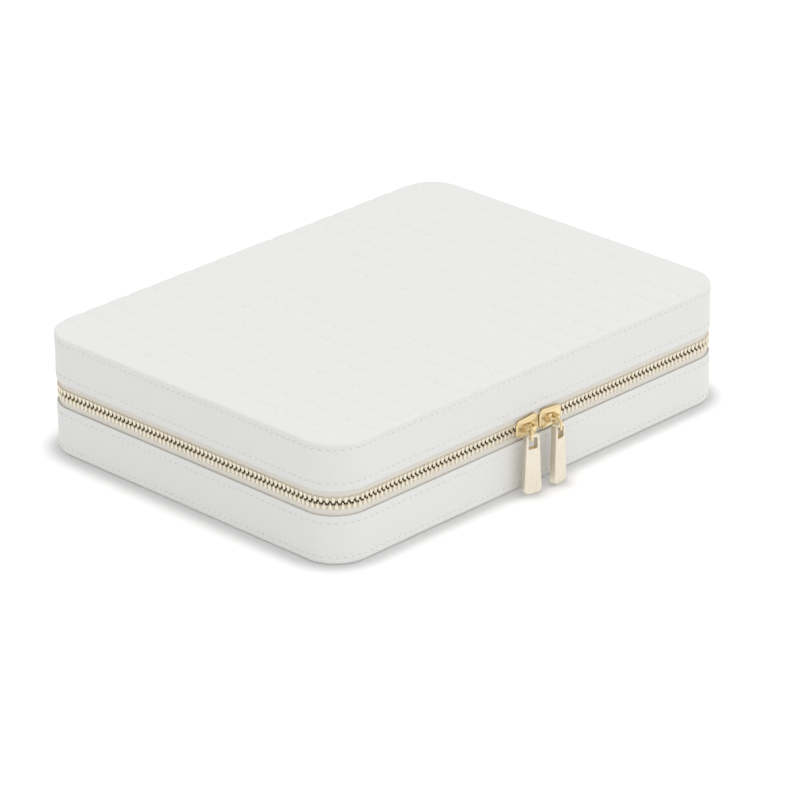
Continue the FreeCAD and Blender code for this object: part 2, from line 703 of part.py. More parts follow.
def build_pull(name, side, yaw, turn):
    """Tapered pull with a window, hung on the link's lower wire."""
    body = new_body(name)
    window_top = size.link_wire / 2 + size.pull_play
    top = window_top + size.pull_bar
    bottom = size.pull_floor_gap + size.link_drop - size.zip_level
    half_top = size.pull_top_width / 2
    half_end = size.pull_end_width / 2
    half_window = size.window_width / 2
    window_low = window_top - size.window_height
    sketch = new_sketch(body, "XZ_Plane", -size.pull_thick / 2)
    draw_polygon(sketch, "edge", [(-half_top, top), (half_top, top), (half_end, bottom), (-half_end, bottom)])
    draw_polygon(sketch, "window", [(-half_window, window_top), (half_window, window_top),
                                    (half_window, window_low), (-half_window, window_low)])
    pad(body, sketch, size.pull_thick)

    def through_corner(at_top):
        level = top.number if at_top else bottom.number

        def chosen(edge):
            box = edge.BoundBox
            return box.YLength > 1 and box.ZLength < 1e-6 and abs(box.ZMin - level) < 1e-6
        return chosen

    def on_outline(edge):
        box = edge.BoundBox
        inside = box.XLength <= size.window_width.number + 1e-6 and abs(box.Center.x) < half_window.number + 1e-6
        window_edge = inside and box.ZMin > window_low.number - 1e-6 and box.ZMax < window_top.number + 1e-6
        return box.YLength < 1e-6 and not window_edge

    fillet(body, size.pull_corner, through_corner(at_top=False))
    fillet(body, size.pull_top_corner, through_corner(at_top=True))
    fillet(body, size.pull_edge, on_outline)
    across = side * crown_middle + size.pull_seat * sine(yaw)
    along = -(size.case_depth / 2 + pivot_out + size.pull_seat * cosine(yaw))
    stand(body, across, along, size.zip_level - size.link_drop, turn)


def build_sliders():
    """Both sliders with their crowns, links and pulls."""
    hands = {
        "left": (-1, size.left_link_yaw, size.left_pull_yaw),
        "right": (1, size.right_link_yaw, size.right_pull_yaw),
    }
    for hand, (side, link_yaw, pull_yaw) in hands.items():
        build_slider_body(f"{hand}_slider_body", side)
        build_crown(f"{hand}_slider_crown", side)
        build_link(f"{hand}_pull_link", side, link_yaw)
        build_pull(f"{hand}_pull_tab", side, link_yaw, pull_yaw)


def build_dividers():
    """Upright dividers that split the base into three columns and the columns into rooms."""
    inner = size.ring_bank_width / 2
    outer = inner + size.divider
    half = size.divider / 2
    top = floor + size.divider_rise
    bank_back = size.roll_count * size.roll_pitch - room_half_depth
    depth = (-room_half_depth, room_half_depth)
    block("divider_left", -outer, -inner, *depth, floor, top)
    block("divider_right", inner, outer, *depth, floor, top)
    block("divider_ring_bank", -inner, inner, bank_back, bank_back + size.divider, floor, top)
    block("divider_left_cross", -room_half_width, -outer, -half, half, floor, top)
    block("divider_right_cross", outer, room_half_width, -half, half, floor, top)


def build_ring_rolls():
    """Padded rolls between which rings are pushed."""
    left = size.soft_gap - size.ring_bank_width / 2
    length = size.ring_bank_width - 2 * size.soft_gap
    top = floor + size.roll_height
    for k in range(int(size.roll_count.number)):
        body = new_body(f"ring_roll_{k + 1}")
        sketch = new_sketch(body, "YZ_Plane", left)
        front = k * size.roll_pitch + size.soft_gap - room_half_depth
        back = (k + 1) * size.roll_pitch - size.soft_gap - room_half_depth
        draw_polygon(sketch, "roll", [(front, floor), (back, floor), (back, top), (front, top)])
        pad(body, sketch, length)
        fillet(body, size.roll_round, lambda edge: edge.BoundBox.XLength > 1 and at_height(top)(edge))


def build_mirror():
    """Mirror glass and the frame that holds it under the lid's ceiling."""
    border = size.frame_border
    frame_left = size.mirror_margin - room_half_width
    left = frame_left + border
    right = left + size.mirror_width
    half = size.mirror_depth / 2
    glass_low = ceiling - size.mirror_thick
    block("mirror_glass", left, right, -half, half, glass_low, ceiling)
    body = new_body("mirror_frame")
    bands = [(glass_low - size.frame_face, glass_low, -size.frame_lip), (glass_low, ceiling, size.mirror_play)]
    for low, high, grow in bands:
        sketch = new_sketch(body, "XY_Plane", low)
        draw_rounded(sketch, "outer", frame_left, right + border, -half - border, half + border,
                     size.frame_corner)
        hole_left = left - grow
        hole_right = right + grow
        hole_half = half + grow
        draw_polygon(sketch, "hole", [(hole_left, -hole_half), (hole_right, -hole_half),
                                      (hole_right, hole_half), (hole_left, hole_half)])
        pad(body, sketch, high - low)


def build_necklace_bar():
    """Leather-covered bar with a row of knobs, near the front edge of the lid."""
    left = size.lid_field_left
    front = size.necklace_front - room_half_depth
    low = ceiling - size.necklace_thick
    block("necklace_bar", left, left + size.lid_field_width, front, front + size.necklace_width, low, ceiling)
    spacing = size.lid_field_width.number / size.knob_count.number
    along = (front + size.necklace_width / 2).number
    stem_length = size.knob_stem_length.number
    down = Vector(0, 0, -1)
    knobs = []
    for k in range(int(size.knob_count.number)):
        foot = Vector(left.number + (k + 0.5) * spacing, along, low.number)
        stem = Part.makeCylinder(size.knob_stem.number / 2, stem_length, foot, down)
        neck = foot + down * stem_length
        head = Part.makeCylinder(size.knob_head.number / 2, size.knob_head_thick.number, neck, down)
        knobs.append(stem.fuse(head).removeSplitter())
    feature_of("necklace_knobs", knobs)


def build_pocket():
    """Cloth pocket on the lid's ceiling, open towards the front, with an elastic hem."""
    left = size.lid_field_left
    right = left + size.lid_field_width
    front = size.pocket_front
    back = front + size.pocket_length
    low = ceiling - size.pocket_bulge
    body = new_body("pocket_panel")
    sketch = new_sketch(body, "XY_Plane", low)
    draw_rounded(sketch, "cloth", left, right, front, back, size.pocket_corner)
    pad(body, sketch, size.pocket_bulge)
    space = new_sketch(body, "XZ_Plane", -front)
    seam = size.pocket_seam
    inside = low + size.pocket_cloth
    draw_polygon(space, "space", [(left + seam, inside), (right - seam, inside),
                                  (right - seam, ceiling), (left + seam, ceiling)])
    pocket(body, space, size.pocket_length - seam)
    hem_left = left + size.pocket_corner
    hem_right = right - size.pocket_corner
    block("pocket_hem", hem_left, hem_right, front - size.hem, front, low, low + size.hem)


def check():
    """Stops if any object failed or any sub-part has no sound shape."""
    doc.recompute()
    for item in doc.Objects:
        if "Invalid" in item.State or "Error" in item.State:
            raise RuntimeError(f"{item.Label}: {item.State}")
    for name, item in parts.items():
        if item.Shape.isNull() or not item.Shape.isValid() or not item.Shape.Solids:
            raise RuntimeError(f"{name} has no sound shape")


def export():
    """Writes each sub-part's shape to its own file."""
    os.makedirs("parts", exist_ok=True)
    for name, item in parts.items():
        item.Shape.exportStep(f"parts/{name}.step")


build_base_shell()
build_lid_shell()
build_tapes()
build_teeth()
build_spine()
build_sliders()
build_dividers()
build_ring_rolls()
build_mirror()
build_necklace_bar()
build_pocket()
check()
export()
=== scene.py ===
import logging
import math
from dataclasses import dataclass
from enum import Enum
from typing import Callable, Sequence

import bmesh
import bpy
import numpy as np
from mathutils import Matrix, Vector


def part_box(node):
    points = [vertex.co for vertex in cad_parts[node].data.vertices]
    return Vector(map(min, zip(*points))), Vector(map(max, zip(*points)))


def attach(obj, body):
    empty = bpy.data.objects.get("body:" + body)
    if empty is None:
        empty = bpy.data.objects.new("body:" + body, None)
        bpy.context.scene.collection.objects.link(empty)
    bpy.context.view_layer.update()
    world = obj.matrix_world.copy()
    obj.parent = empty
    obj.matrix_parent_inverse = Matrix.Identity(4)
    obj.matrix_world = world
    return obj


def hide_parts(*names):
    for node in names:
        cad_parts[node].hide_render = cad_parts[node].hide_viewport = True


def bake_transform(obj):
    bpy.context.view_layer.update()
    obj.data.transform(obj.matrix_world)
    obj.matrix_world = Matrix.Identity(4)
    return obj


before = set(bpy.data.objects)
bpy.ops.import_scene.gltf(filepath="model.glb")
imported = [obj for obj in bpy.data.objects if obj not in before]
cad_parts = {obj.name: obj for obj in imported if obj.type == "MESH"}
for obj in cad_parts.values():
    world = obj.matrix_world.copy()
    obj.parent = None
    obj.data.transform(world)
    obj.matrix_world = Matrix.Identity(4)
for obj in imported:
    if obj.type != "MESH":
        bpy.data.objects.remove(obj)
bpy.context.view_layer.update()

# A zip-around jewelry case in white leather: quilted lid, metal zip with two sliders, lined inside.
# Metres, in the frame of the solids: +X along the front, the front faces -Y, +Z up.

LOG = logging.getLogger("jewelry_case")
MM = 0.001
UP = Vector((0, 0, 1))
STILL = Matrix.Identity(4)
CASE_CORNER = 18 * MM
PLUMP_DEPTH = 0.05 * MM
PLUMP_WIDTH = 13 * MM
PLUMP_LENGTH = 17 * MM
Colour = tuple[float, float, float]
Profile = list[tuple[float, float]]
Line = list[Vector]
Piece = bpy.types.Object
Socket = bpy.types.NodeSocket
Relief = Callable[[np.ndarray, np.ndarray, np.ndarray], np.ndarray]


class Body(Enum):
    """The moving bodies that a piece can ride on."""

    BASE = "base"
    LID = "lid"


class Hand(Enum):
    """The two sliders, with the side of the middle that each is on."""

    LEFT = -1
    RIGHT = 1

    @property
    def word(self) -> str:
        """The hand's name as the solids' names give it."""
        return self.name.lower()


def linear(*levels: int) -> Colour:
    """Turns a display colour, with levels from 0 to 255, into the linear colour that shaders take."""
    shares = [level / 255 for level in levels]
    return tuple(s / 12.92 if s <= 0.04045 else ((s + 0.055) / 1.055) ** 2.4 for s in shares)


class Nodes:
    """The shader nodes of one material or world."""

    def __init__(self, owner: bpy.types.ID) -> None:
        """Starts the nodes afresh.

        Args:
            owner: The material or world.
        """
        owner.use_nodes = True
        self.nodes = owner.node_tree.nodes
        self.links = owner.node_tree.links
        self.nodes.clear()

    def add(self, kind: str, inputs: dict | None = None, **settings: str) -> bpy.types.Node:
        """Adds a node.

        Args:
            kind: The node's type, without its prefix.
            inputs: A constant or a socket for each input that is set, by its name or number.
            settings: The node's own settings.

        Returns:
            The node.
        """
        node = self.nodes.new(f"ShaderNode{kind}")
        for name, value in settings.items():
            setattr(node, name, value)
        self.feed(node, inputs or {})
        return node

    def feed(self, node: bpy.types.Node, inputs: dict) -> None:
        """Gives inputs of a node their values.

        Args:
            node: The node.
            inputs: A constant or a socket for each input that is set, by its name or number.
        """
        for name, value in inputs.items():
            if isinstance(value, Socket):
                self.links.new(value, node.inputs[name])
            else:
                node.inputs[name].default_value = value


class Shader(Nodes):
    """One material, built round a single surface shader."""

    def __init__(self, name: str, **constants: float) -> None:
        """Starts a material.

        Args:
            name: The material's name.
            constants: Constant inputs of the surface, named in lower case with underscores.
        """
        self.material = bpy.data.materials.new(name)
        super().__init__(self.material)
        self.surface = self.add("BsdfPrincipled")
        self.add("OutputMaterial", {"Surface": self.surface.outputs["BSDF"]})
        self.coordinates = self.add("TexCoord")
        self.normal = None
        known = {socket.name.lower().replace(" ", "_"): socket for socket in self.surface.inputs}
        for word, value in constants.items():
            known[word].default_value = value

    def place(self, stretch: Sequence[float] = (1, 1, 1), along_surface: bool = False) -> Socket:
        """Gives coordinates for a pattern, in metres times the stretch, in space or along the UV map."""
        source = self.coordinates.outputs["UV" if along_surface else "Object"]
        return self.add("Mapping", {"Vector": source, "Scale": stretch}).outputs["Vector"]

    def noise(self, vector: Socket, size: float, detail: float = 3.0) -> Socket:
        """Gives cloudy variation with features of that size."""
        return self.add("TexNoise", {"Vector": vector, "Scale": 1 / size, "Detail": detail}).outputs["Fac"]

    def cells(self, vector: Socket, size: float) -> Socket:
        """Gives the distance to the edges of pebble-like cells of that size."""
        inputs = {"Vector": vector, "Scale": 1 / size}
        return self.add("TexVoronoi", inputs, feature="DISTANCE_TO_EDGE").outputs["Distance"]

    def ribs(self, vector: Socket, pitch: float, axis: str) -> Socket:
        """Gives smooth ribs across one axis, that far apart."""
        inputs = {"Vector": vector, "Scale": math.pi / (10 * pitch)}
        return self.add("TexWave", inputs, bands_direction=axis).outputs["Fac"]

    def combine(self, first: Socket, second: Socket, how: str) -> Socket:
        """Gives two values joined by one operation."""
        return self.add("Math", {0: first, 1: second}, operation=how).outputs["Value"]

    def spread(self, value: Socket, low: float, high: float, start: float = 0.3, end: float = 0.7) -> Socket:
        """Gives a value stretched from the range start to end onto the range low to high."""
        inputs = {"Value": value, "From Min": start, "From Max": end, "To Min": low, "To Max": high}
        return self.add("MapRange", inputs).outputs["Result"]

    def switch(self, ray: Socket, unseen: float, seen: float) -> Socket:
        """Gives one value for rays of a kind and another for all others."""
        return self.spread(ray, unseen, seen, 0, 1)

    def tint(self, share: Socket, first: Colour, second: Colour) -> None:
        """Mixes the surface's colour from two by that share."""
        mix = self.add("Mix", {0: share, 6: (*first, 1), 7: (*second, 1)}, data_type="RGBA")
        self.feed(self.surface, {"Base Color": mix.outputs[2]})

    def gloss(self, share: Socket) -> None:
        """Drives the surface's roughness."""
        self.feed(self.surface, {"Roughness": share})

    def emboss(self, height: Socket, depth: float) -> None:
        """Adds a relief over the reliefs so far.

        Args:
            height: The relief's height, from 0 to 1.
            depth: Its depth in metres.
        """
        inputs = {"Distance": depth, "Height": height}
        if self.normal:
            inputs["Normal"] = self.normal
        self.normal = self.add("Bump", inputs).outputs["Normal"]
        self.feed(self.surface, {"Normal": self.normal})


@dataclass(frozen=True)
class Shades:
    """What every coloured finish has: a name and two shades."""

    name: str
    light: Colour
    shade: Colour


@dataclass(frozen=True)
class Leather(Shades):
    """Smooth dyed leather: a fine pebble grain and a faint change of shade."""

    grain: float = 0.55 * MM
    relief: float = 0.035 * MM
    pebble: float = 0.25
    cloud: float = 40 * MM
    swell: float = 6 * MM
    swell_relief: float = 0.12 * MM
    polish: tuple[float, float] = (0.44, 0.56)

    def build(self) -> bpy.types.Material:
        """Builds the finish.

        Returns:
            The material.
        """
        shader = Shader(self.name, specular_ior_level=0.42, coat_weight=0.06, coat_roughness=0.3)
        space = shader.place()
        shader.tint(shader.spread(shader.noise(space, self.cloud), 0, 1), self.light, self.shade)
        fine = shader.noise(space, self.grain / 2, detail=2)
        shader.gloss(shader.spread(fine, *self.polish))
        shader.emboss(shader.spread(shader.cells(space, self.grain), 0, 1, 0, self.pebble), self.relief)
        shader.emboss(shader.noise(space, self.swell), self.swell_relief)
        return shader.material


@dataclass(frozen=True)
class Suede(Shades):
    """Short-napped cloth: matt, brushed in patches, with a soft sheen."""

    nap: float = 0.35 * MM
    sheen: float = 0.35
    patch: float = 14 * MM
    relief: float = 0.1 * MM
    brushing: tuple[float, float] = (0.1, 0.42)
    polish: tuple[float, float] = (0.85, 1.0)

    def build(self) -> bpy.types.Material:
        """Builds the finish.

        Returns:
            The material.
        """
        shader = Shader(self.name, sheen_weight=self.sheen, sheen_roughness=0.4, specular_ior_level=0.15)
        space = shader.place()
        patches = shader.noise(space, self.patch)
        fibres = shader.noise(space, self.nap, detail=4)
        both = shader.combine(patches, fibres, "MULTIPLY")
        shader.tint(shader.spread(both, 0, 1, *self.brushing), self.shade, self.light)
        shader.gloss(shader.spread(fibres, *self.polish))
        shader.emboss(fibres, self.relief)
        return shader.material


@dataclass(frozen=True)
class Woven(Shades):
    """Woven tape or elastic: ribs across the length and finer ones along it."""

    rib: float = 0.62 * MM
    thread: float = 0.34 * MM
    relief: float = 0.12 * MM
    wear: float = 3 * MM
    crest: float = 0.8
    polish: tuple[float, float] = (0.75, 0.9)

    def build(self) -> bpy.types.Material:
        """Builds the finish.

        Returns:
            The material.
        """
        shader = Shader(self.name, sheen_weight=0.2, specular_ior_level=0.2)
        surface = shader.place(along_surface=True)
        across = shader.ribs(surface, self.rib, "X")
        along = shader.ribs(surface, self.thread, "Y")
        weave = shader.combine(across, along, "MULTIPLY")
        shader.tint(shader.spread(weave, 0, 1, 0, self.crest), self.shade, self.light)
        shader.gloss(shader.spread(shader.noise(surface, self.wear), *self.polish))
        shader.emboss(weave, self.relief)
        return shader.material


@dataclass(frozen=True)
class Plated(Shades):
    """Plated metal: polished, or satin with fine brushing along Z."""

    polish: tuple[float, float]
    stretch: tuple[float, float, float] = (1, 1, 1)
    relief: float = 0.002 * MM
    streak: float = 0.25 * MM
    cloud: float = 3 * MM

    def build(self) -> bpy.types.Material:
        """Builds the finish.

        Returns:
            The material.
        """
        shader = Shader(self.name, metallic=1.0)
        streaks = shader.noise(shader.place(self.stretch), self.streak, detail=2)
        cloud = shader.noise(shader.place(), self.cloud)
        shader.tint(shader.spread(cloud, 0, 1), self.light, self.shade)
        shader.gloss(shader.spread(streaks, *self.polish))
        shader.emboss(streaks, self.relief)
        return shader.material


@dataclass(frozen=True)
class Silvered(Shades):
    """Mirror glass, with the faint smears of use."""

    smear: float = 25 * MM
    polish: tuple[float, float] = (0.015, 0.05)

    def build(self) -> bpy.types.Material:
        """Builds the finish.

        Returns:
            The material.
        """
        shader = Shader(self.name, metallic=1.0)
        smear = shader.noise(shader.place(), self.smear)
        shader.tint(smear, self.light, self.shade)
        shader.gloss(shader.spread(smear, *self.polish))
        return shader.material


@dataclass(frozen=True)
class Fibrous(Shades):
    """Pressed fibreboard or foam: flecks and pores, all matt."""

    fleck: float
    relief: float
    stretch: tuple[float, float, float] = (1, 0.35, 1)
    polish: tuple[float, float] = (0.85, 1.0)

    def build(self) -> bpy.types.Material:
        """Builds the finish.

        Returns:
            The material.
        """
        shader = Shader(self.name, specular_ior_level=0.1)
        flecks = shader.noise(shader.place(self.stretch), self.fleck, detail=5)
        shader.tint(shader.spread(flecks, 0, 1), self.shade, self.light)
        shader.gloss(shader.spread(flecks, *self.polish))
        shader.emboss(flecks, self.relief)
        return shader.material


class Finish(Enum):
    """Every finish of the case, by what it covers."""

    LEATHER = Leather("white_leather", linear(231, 231, 227), linear(227, 226, 221))
    SPINE = Leather("spine_leather", linear(230, 229, 225), linear(224, 222, 217))
    # Painted shade: a grey for the band's cut edge where it turns towards the shadowed zip gap.
    EDGE_PAINT = Leather("edge_paint", linear(202, 199, 193), linear(190, 187, 181))
    # Painted shade: the darker dots for needle holes, where the hole would be in shade.
    NEEDLE_HOLE = Leather("needle_hole", linear(214, 212, 208), linear(204, 202, 197))
    THREAD = Suede("sewing_thread", linear(249, 249, 246), linear(242, 241, 237), nap=0.2 * MM, sheen=0.1)
    TAPE = Woven("zip_tape", linear(252, 246, 232), linear(236, 228, 210))
    # Painted shade: a darker tan for the tape and cord among the teeth, where the gaps between teeth are in
    # shade.
    CORD = Woven("zip_cord", linear(238, 231, 214), linear(224, 215, 194))
    TEETH = Plated("zip_teeth", linear(229, 222, 206), linear(219, 210, 188), polish=(0.2, 0.32))
    GOLD = Plated("slider_gold", linear(254, 230, 174), linear(251, 216, 148), polish=(0.05, 0.12))
    SATIN = Plated("pull_satin", linear(228, 221, 206), linear(221, 212, 194), polish=(0.3, 0.4),
                   stretch=(1, 1, 0.04), relief=0.004 * MM)
    LINING = Suede("lining_suede", linear(222, 212, 198), linear(203, 191, 176))
    VELVET = Suede("ring_velvet", linear(224, 214, 201), linear(200, 188, 172), nap=0.3 * MM, sheen=0.6)
    POCKET = Suede("pocket_cloth", linear(221, 211, 197), linear(205, 193, 178), nap=0.3 * MM)
    ELASTIC = Woven("pocket_elastic", linear(226, 217, 204), linear(202, 191, 176), rib=0.9 * MM,
                    thread=0.5 * MM, relief=0.2 * MM)
    MIRROR = Silvered("mirror_silver", (0.90, 0.91, 0.92), (0.93, 0.94, 0.94))
    BOARD = Fibrous("core_board", linear(196, 178, 150), linear(160, 140, 112), fleck=1.2 * MM,
                    relief=0.08 * MM)
    FOAM = Fibrous("quilt_foam", linear(240, 237, 226), linear(224, 219, 204), fleck=0.8 * MM,
                   relief=0.2 * MM)

    @property
    def material(self) -> bpy.types.Material:
        """The finish as a material, built the first time that it is asked for."""
        return bpy.data.materials.get(self.value.name) or self.value.build()


@dataclass(frozen=True)
class Outline:
    """A rounded rectangle seen from above: the outside of the case, or a layer further in."""

    half_width: float
    half_depth: float
    radius: float

    @property
    def half_front(self) -> float:
        """Half the straight stretch along the front."""
        return self.half_width - self.radius

    @property
    def half_side(self) -> float:
        """Half the straight stretch along a side."""
        return self.half_depth - self.radius

    @property
    def quarter(self) -> float:
        """Length of one corner."""
        return self.radius * math.pi / 2

    @property
    def half_length(self) -> float:
        """Way from the middle of the front to the middle of the back."""
        return 2 * (self.half_front + self.half_side + self.quarter)

    def inset(self, depth: float) -> "Outline":
        """Returns the outline that far further in."""
        return Outline(self.half_width - depth, self.half_depth - depth, self.radius - depth)

    def within(self, node: str) -> "Outline":
        """Returns the outline of a solid that lies further in."""
        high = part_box(node)[1]
        return Outline(high.x, high.y, self.radius - (self.half_width - high.x))

    def at(self, travel: float) -> tuple[Vector, Vector]:
        """Walks along the outline.

        Args:
            travel: Way from the middle of the front, positive towards +X.

        Returns:
            The place there, at height 0, and the outward direction.
        """
        stretches = (
            (self.half_front, Vector((0, -self.half_depth, 0)), 0, False),
            (self.quarter, Vector((self.half_front, -self.half_side, 0)), 0, True),
            (2 * self.half_side, Vector((self.half_width, -self.half_side, 0)), 90, False),
            (self.quarter, Vector((self.half_front, self.half_side, 0)), 90, True),
            (self.half_front, Vector((self.half_front, self.half_depth, 0)), 180, False),
        )
        left = min(abs(travel), self.half_length)
        for length, anchor, heading, bends in stretches:
            if left <= length + 1e-9:
                break
            left -= length
        angle = math.radians(heading) + (left / self.radius if bends else 0)
        ahead = Vector((math.cos(angle), math.sin(angle), 0))
        outward = Vector((ahead.y, -ahead.x, 0))
        spot = anchor + (outward * self.radius if bends else ahead * left)
        side = math.copysign(1, travel)
        return Vector((side * spot.x, spot.y, 0)), Vector((side * outward.x, outward.y, 0))

    def travels(self, end: float, step: float, corner_steps: int = 14) -> list[float]:
        """Picks stations along the outline, closer together in the corners.

        Args:
            end: How far the stations reach to each side of the middle of the front.
            step: Way between stations on the straight stretches.
            corner_steps: Number of steps in a corner.

        Returns:
            The stations' travels in order, from -end to end.
        """
        lengths = (self.half_front, self.quarter, 2 * self.half_side, self.quarter, self.half_front)
        found = [0.0]
        for number, length in enumerate(lengths):
            count = corner_steps if number % 2 else max(1, round(length / step))
            found += [found[-1] + length / count * k for k in range(1, count + 1)]
        found = [travel for travel in found if travel < end - 1e-6] + [end]
        return [-travel for travel in reversed(found[1:])] + found

    def round_trip(self, step: float, corner_steps: int = 14) -> list[float]:
        """Returns the travels of stations all the way round."""
        return self.travels(self.half_length, step, corner_steps)[:-1]

    def sweep(self, section: Profile, middle: Vector, step: float, corner_steps: int = 14) -> list[Line]:
        """Carries a cross-section all the way round.

        Args:
            section: The cross-section: ways out from the outline, and heights.
            middle: Where the outline's middle lies.
            step: Way between stations on the straight stretches.
            corner_steps: Number of steps in a corner.

        Returns:
            The cross-section at each station.
        """
        rows = []
        for travel in self.round_trip(step, corner_steps):
            spot, outward = self.at(travel)
            spot += middle
            rows.append([spot + outward * out + UP * up for out, up in section])
        return rows

    def reach(self, across: np.ndarray) -> np.ndarray:
        """Returns half the outline's depth at each X."""
        past = np.clip(np.abs(across) - self.half_front, 0, self.radius)
        return self.half_side + np.sqrt(self.radius ** 2 - past ** 2)

    def depth(self, across: np.ndarray, along: np.ndarray) -> np.ndarray:
        """Returns how far points lie inside the outline.

        Args:
            across: Each point's X.
            along: Each point's Y.

        Returns:
            Each point's way in from the outline.
        """
        past_x = np.abs(across) - self.half_front
        past_y = np.abs(along) - self.half_side
        corner = np.hypot(np.clip(past_x, 0, None), np.clip(past_y, 0, None))
        return self.radius - np.where((past_x > 0) & (past_y > 0), corner, np.maximum(past_x, past_y))


def plump(across: np.ndarray, along: np.ndarray, depth: np.ndarray) -> np.ndarray:
    """Returns the faint unevenness of leather or cloth on a board, at each point."""
    return PLUMP_DEPTH * (1 + np.sin(across / PLUMP_WIDTH) * np.sin(along / PLUMP_LENGTH))


def new_object(name: str, mesh: bpy.types.Mesh) -> Piece:
    """Links a mesh into the scene as a piece.

    Args:
        name: The piece's name.
        mesh: Its mesh.

    Returns:
        The new object.
    """
    piece = bpy.data.objects.new(name, mesh)
    bpy.context.scene.collection.objects.link(piece)
    return piece


def new_mesh(name: str, points: Sequence, faces: Sequence[Sequence[int]]) -> bpy.types.Mesh:
    """Makes a mesh.

    Args:
        name: The mesh's name.
        points: Its points, in metres.
        faces: Its faces, as rows of point numbers.

    Returns:
        The mesh.
    """
    mesh = bpy.data.meshes.new(name)
    mesh.from_pydata([tuple(point) for point in points], [], faces)
    return mesh


def evaluated(piece: Piece) -> bpy.types.Mesh:
    """Returns a plain mesh of a piece with its modifiers applied."""
    return bpy.data.meshes.new_from_object(piece.evaluated_get(bpy.context.evaluated_depsgraph_get()))


def soften(mesh: bpy.types.Mesh, sharp: float = 40) -> None:
    """Turns a closed mesh's faces outwards and shades it smooth.

    Args:
        mesh: The mesh.
        sharp: Edges that turn by more than this many degrees stay sharp.
    """
    shape = bmesh.new()
    shape.from_mesh(mesh)
    bmesh.ops.recalc_face_normals(shape, faces=shape.faces)
    shape.to_mesh(mesh)
    shape.free()
    mesh.shade_smooth()
    mesh.set_sharp_from_angle(angle=math.radians(sharp))


def finished(name: str, shape: bmesh.types.BMesh) -> Piece:
    """Turns a shape into a smooth piece, and frees the shape.

    Args:
        name: The piece's name.
        shape: The shape.

    Returns:
        The new object.
    """
    mesh = bpy.data.meshes.new(name)
    shape.to_mesh(mesh)
    shape.free()
    soften(mesh)
    return new_object(name, mesh)


def grid_faces(columns: int, rows: int) -> list[tuple[int, ...]]:
    """Returns the faces of a grid of points that are numbered column by column."""
    corners = [c * rows + r for c in range(columns - 1) for r in range(rows - 1)]
    return [(here, here + 1, here + rows + 1, here + rows) for here in corners]


def skin(name: str, rows: list[Line], looped: bool, sharp: float = 40) -> Piece:
    """Skins closed cross-sections into a solid, with a UV map in metres along and around it.

    Args:
        name: The piece's name.
        rows: The cross-sections in order, each with as many points.
        looped: Whether the last row joins the first; otherwise both ends are capped.
        sharp: Edges that turn by more than this many degrees stay sharp.

    Returns:
        The new object.
    """
    wide = len(rows[0])
    points = [point for row in rows for point in row]
    along = [0.0]
    for first, second in zip(rows, rows[1:] + rows[:1]):
        along.append(along[-1] + (second[0] - first[0]).length)
    around = [0.0]
    for first, second in zip(rows[0], rows[0][1:] + rows[0][:1]):
        around.append(around[-1] + (second - first).length)
    faces = []
    map_points = []
    for k in range(len(rows) if looped else len(rows) - 1):
        below = k * wide
        above = (k + 1) % len(rows) * wide
        for j in range(wide):
            nearby = (j + 1) % wide
            faces.append((below + j, below + nearby, above + nearby, above + j))
            low, high = around[j], around[j + 1]
            map_points += [(along[k], low), (along[k], high), (along[k + 1], high), (along[k + 1], low)]
    if not looped:
        for row in (range(wide), range(len(points) - 1, len(points) - wide - 1, -1)):
            faces.append(tuple(row))
            map_points += [(0.0, around[j]) for j in range(wide)]
    mesh = new_mesh(name, points, faces)
    layer = mesh.uv_layers.new(name="UVMap")
    layer.data.foreach_set("uv", np.array(map_points, np.float32).ravel())
    soften(mesh, sharp)
    return new_object(name, mesh)


def arc(middle: tuple[float, float], radius: float, start: float, end: float, steps: int = 5) -> Profile:
    """Returns points on an arc between two angles in degrees."""
    angles = [math.radians(start + (end - start) * k / steps) for k in range(steps + 1)]
    return [(middle[0] + radius * math.cos(a), middle[1] + radius * math.sin(a)) for a in angles]


def rounded(left: float, right: float, low: float, high: float, radius: float, steps: int = 5) -> Profile:
    """Returns a rounded rectangle as one closed profile.

    Args:
        left: Its least first coordinate.
        right: Its greatest first coordinate.
        low: Its least second coordinate.
        high: Its greatest second coordinate.
        radius: Radius of its corners.
        steps: Number of steps in a corner.

    Returns:
        The profile.
    """
    corners = (
        ((right - radius, low + radius), -90), ((right - radius, high - radius), 0),
        ((left + radius, high - radius), 90), ((left + radius, low + radius), 180),
    )
    return [spot for middle, start in corners for spot in arc(middle, radius, start, start + 90, steps)]


def round_off(corners: Profile, radii: Sequence[float], steps: int = 5) -> Profile:
    """Rounds each corner of a polygon with its own radius.

    Args:
        corners: The polygon's corners in order.
        radii: The radius at each corner.
        steps: Number of steps in a corner.

    Returns:
        The rounded outline.
    """
    found = []
    count = len(corners)
    for k, radius in enumerate(radii):
        here = Vector(corners[k])
        before = (Vector(corners[k - 1]) - here).normalized()
        after = (Vector(corners[(k + 1) % count]) - here).normalized()
        half = before.angle(after) / 2
        start = here + before * radius / math.tan(half)
        end = here + after * radius / math.tan(half)
        middle = here + (before + after).normalized() * radius / math.sin(half)
        for share in range(steps + 1):
            way = (start - middle).lerp(end - middle, share / steps)
            found.append(tuple(middle + way.normalized() * radius))
    return found


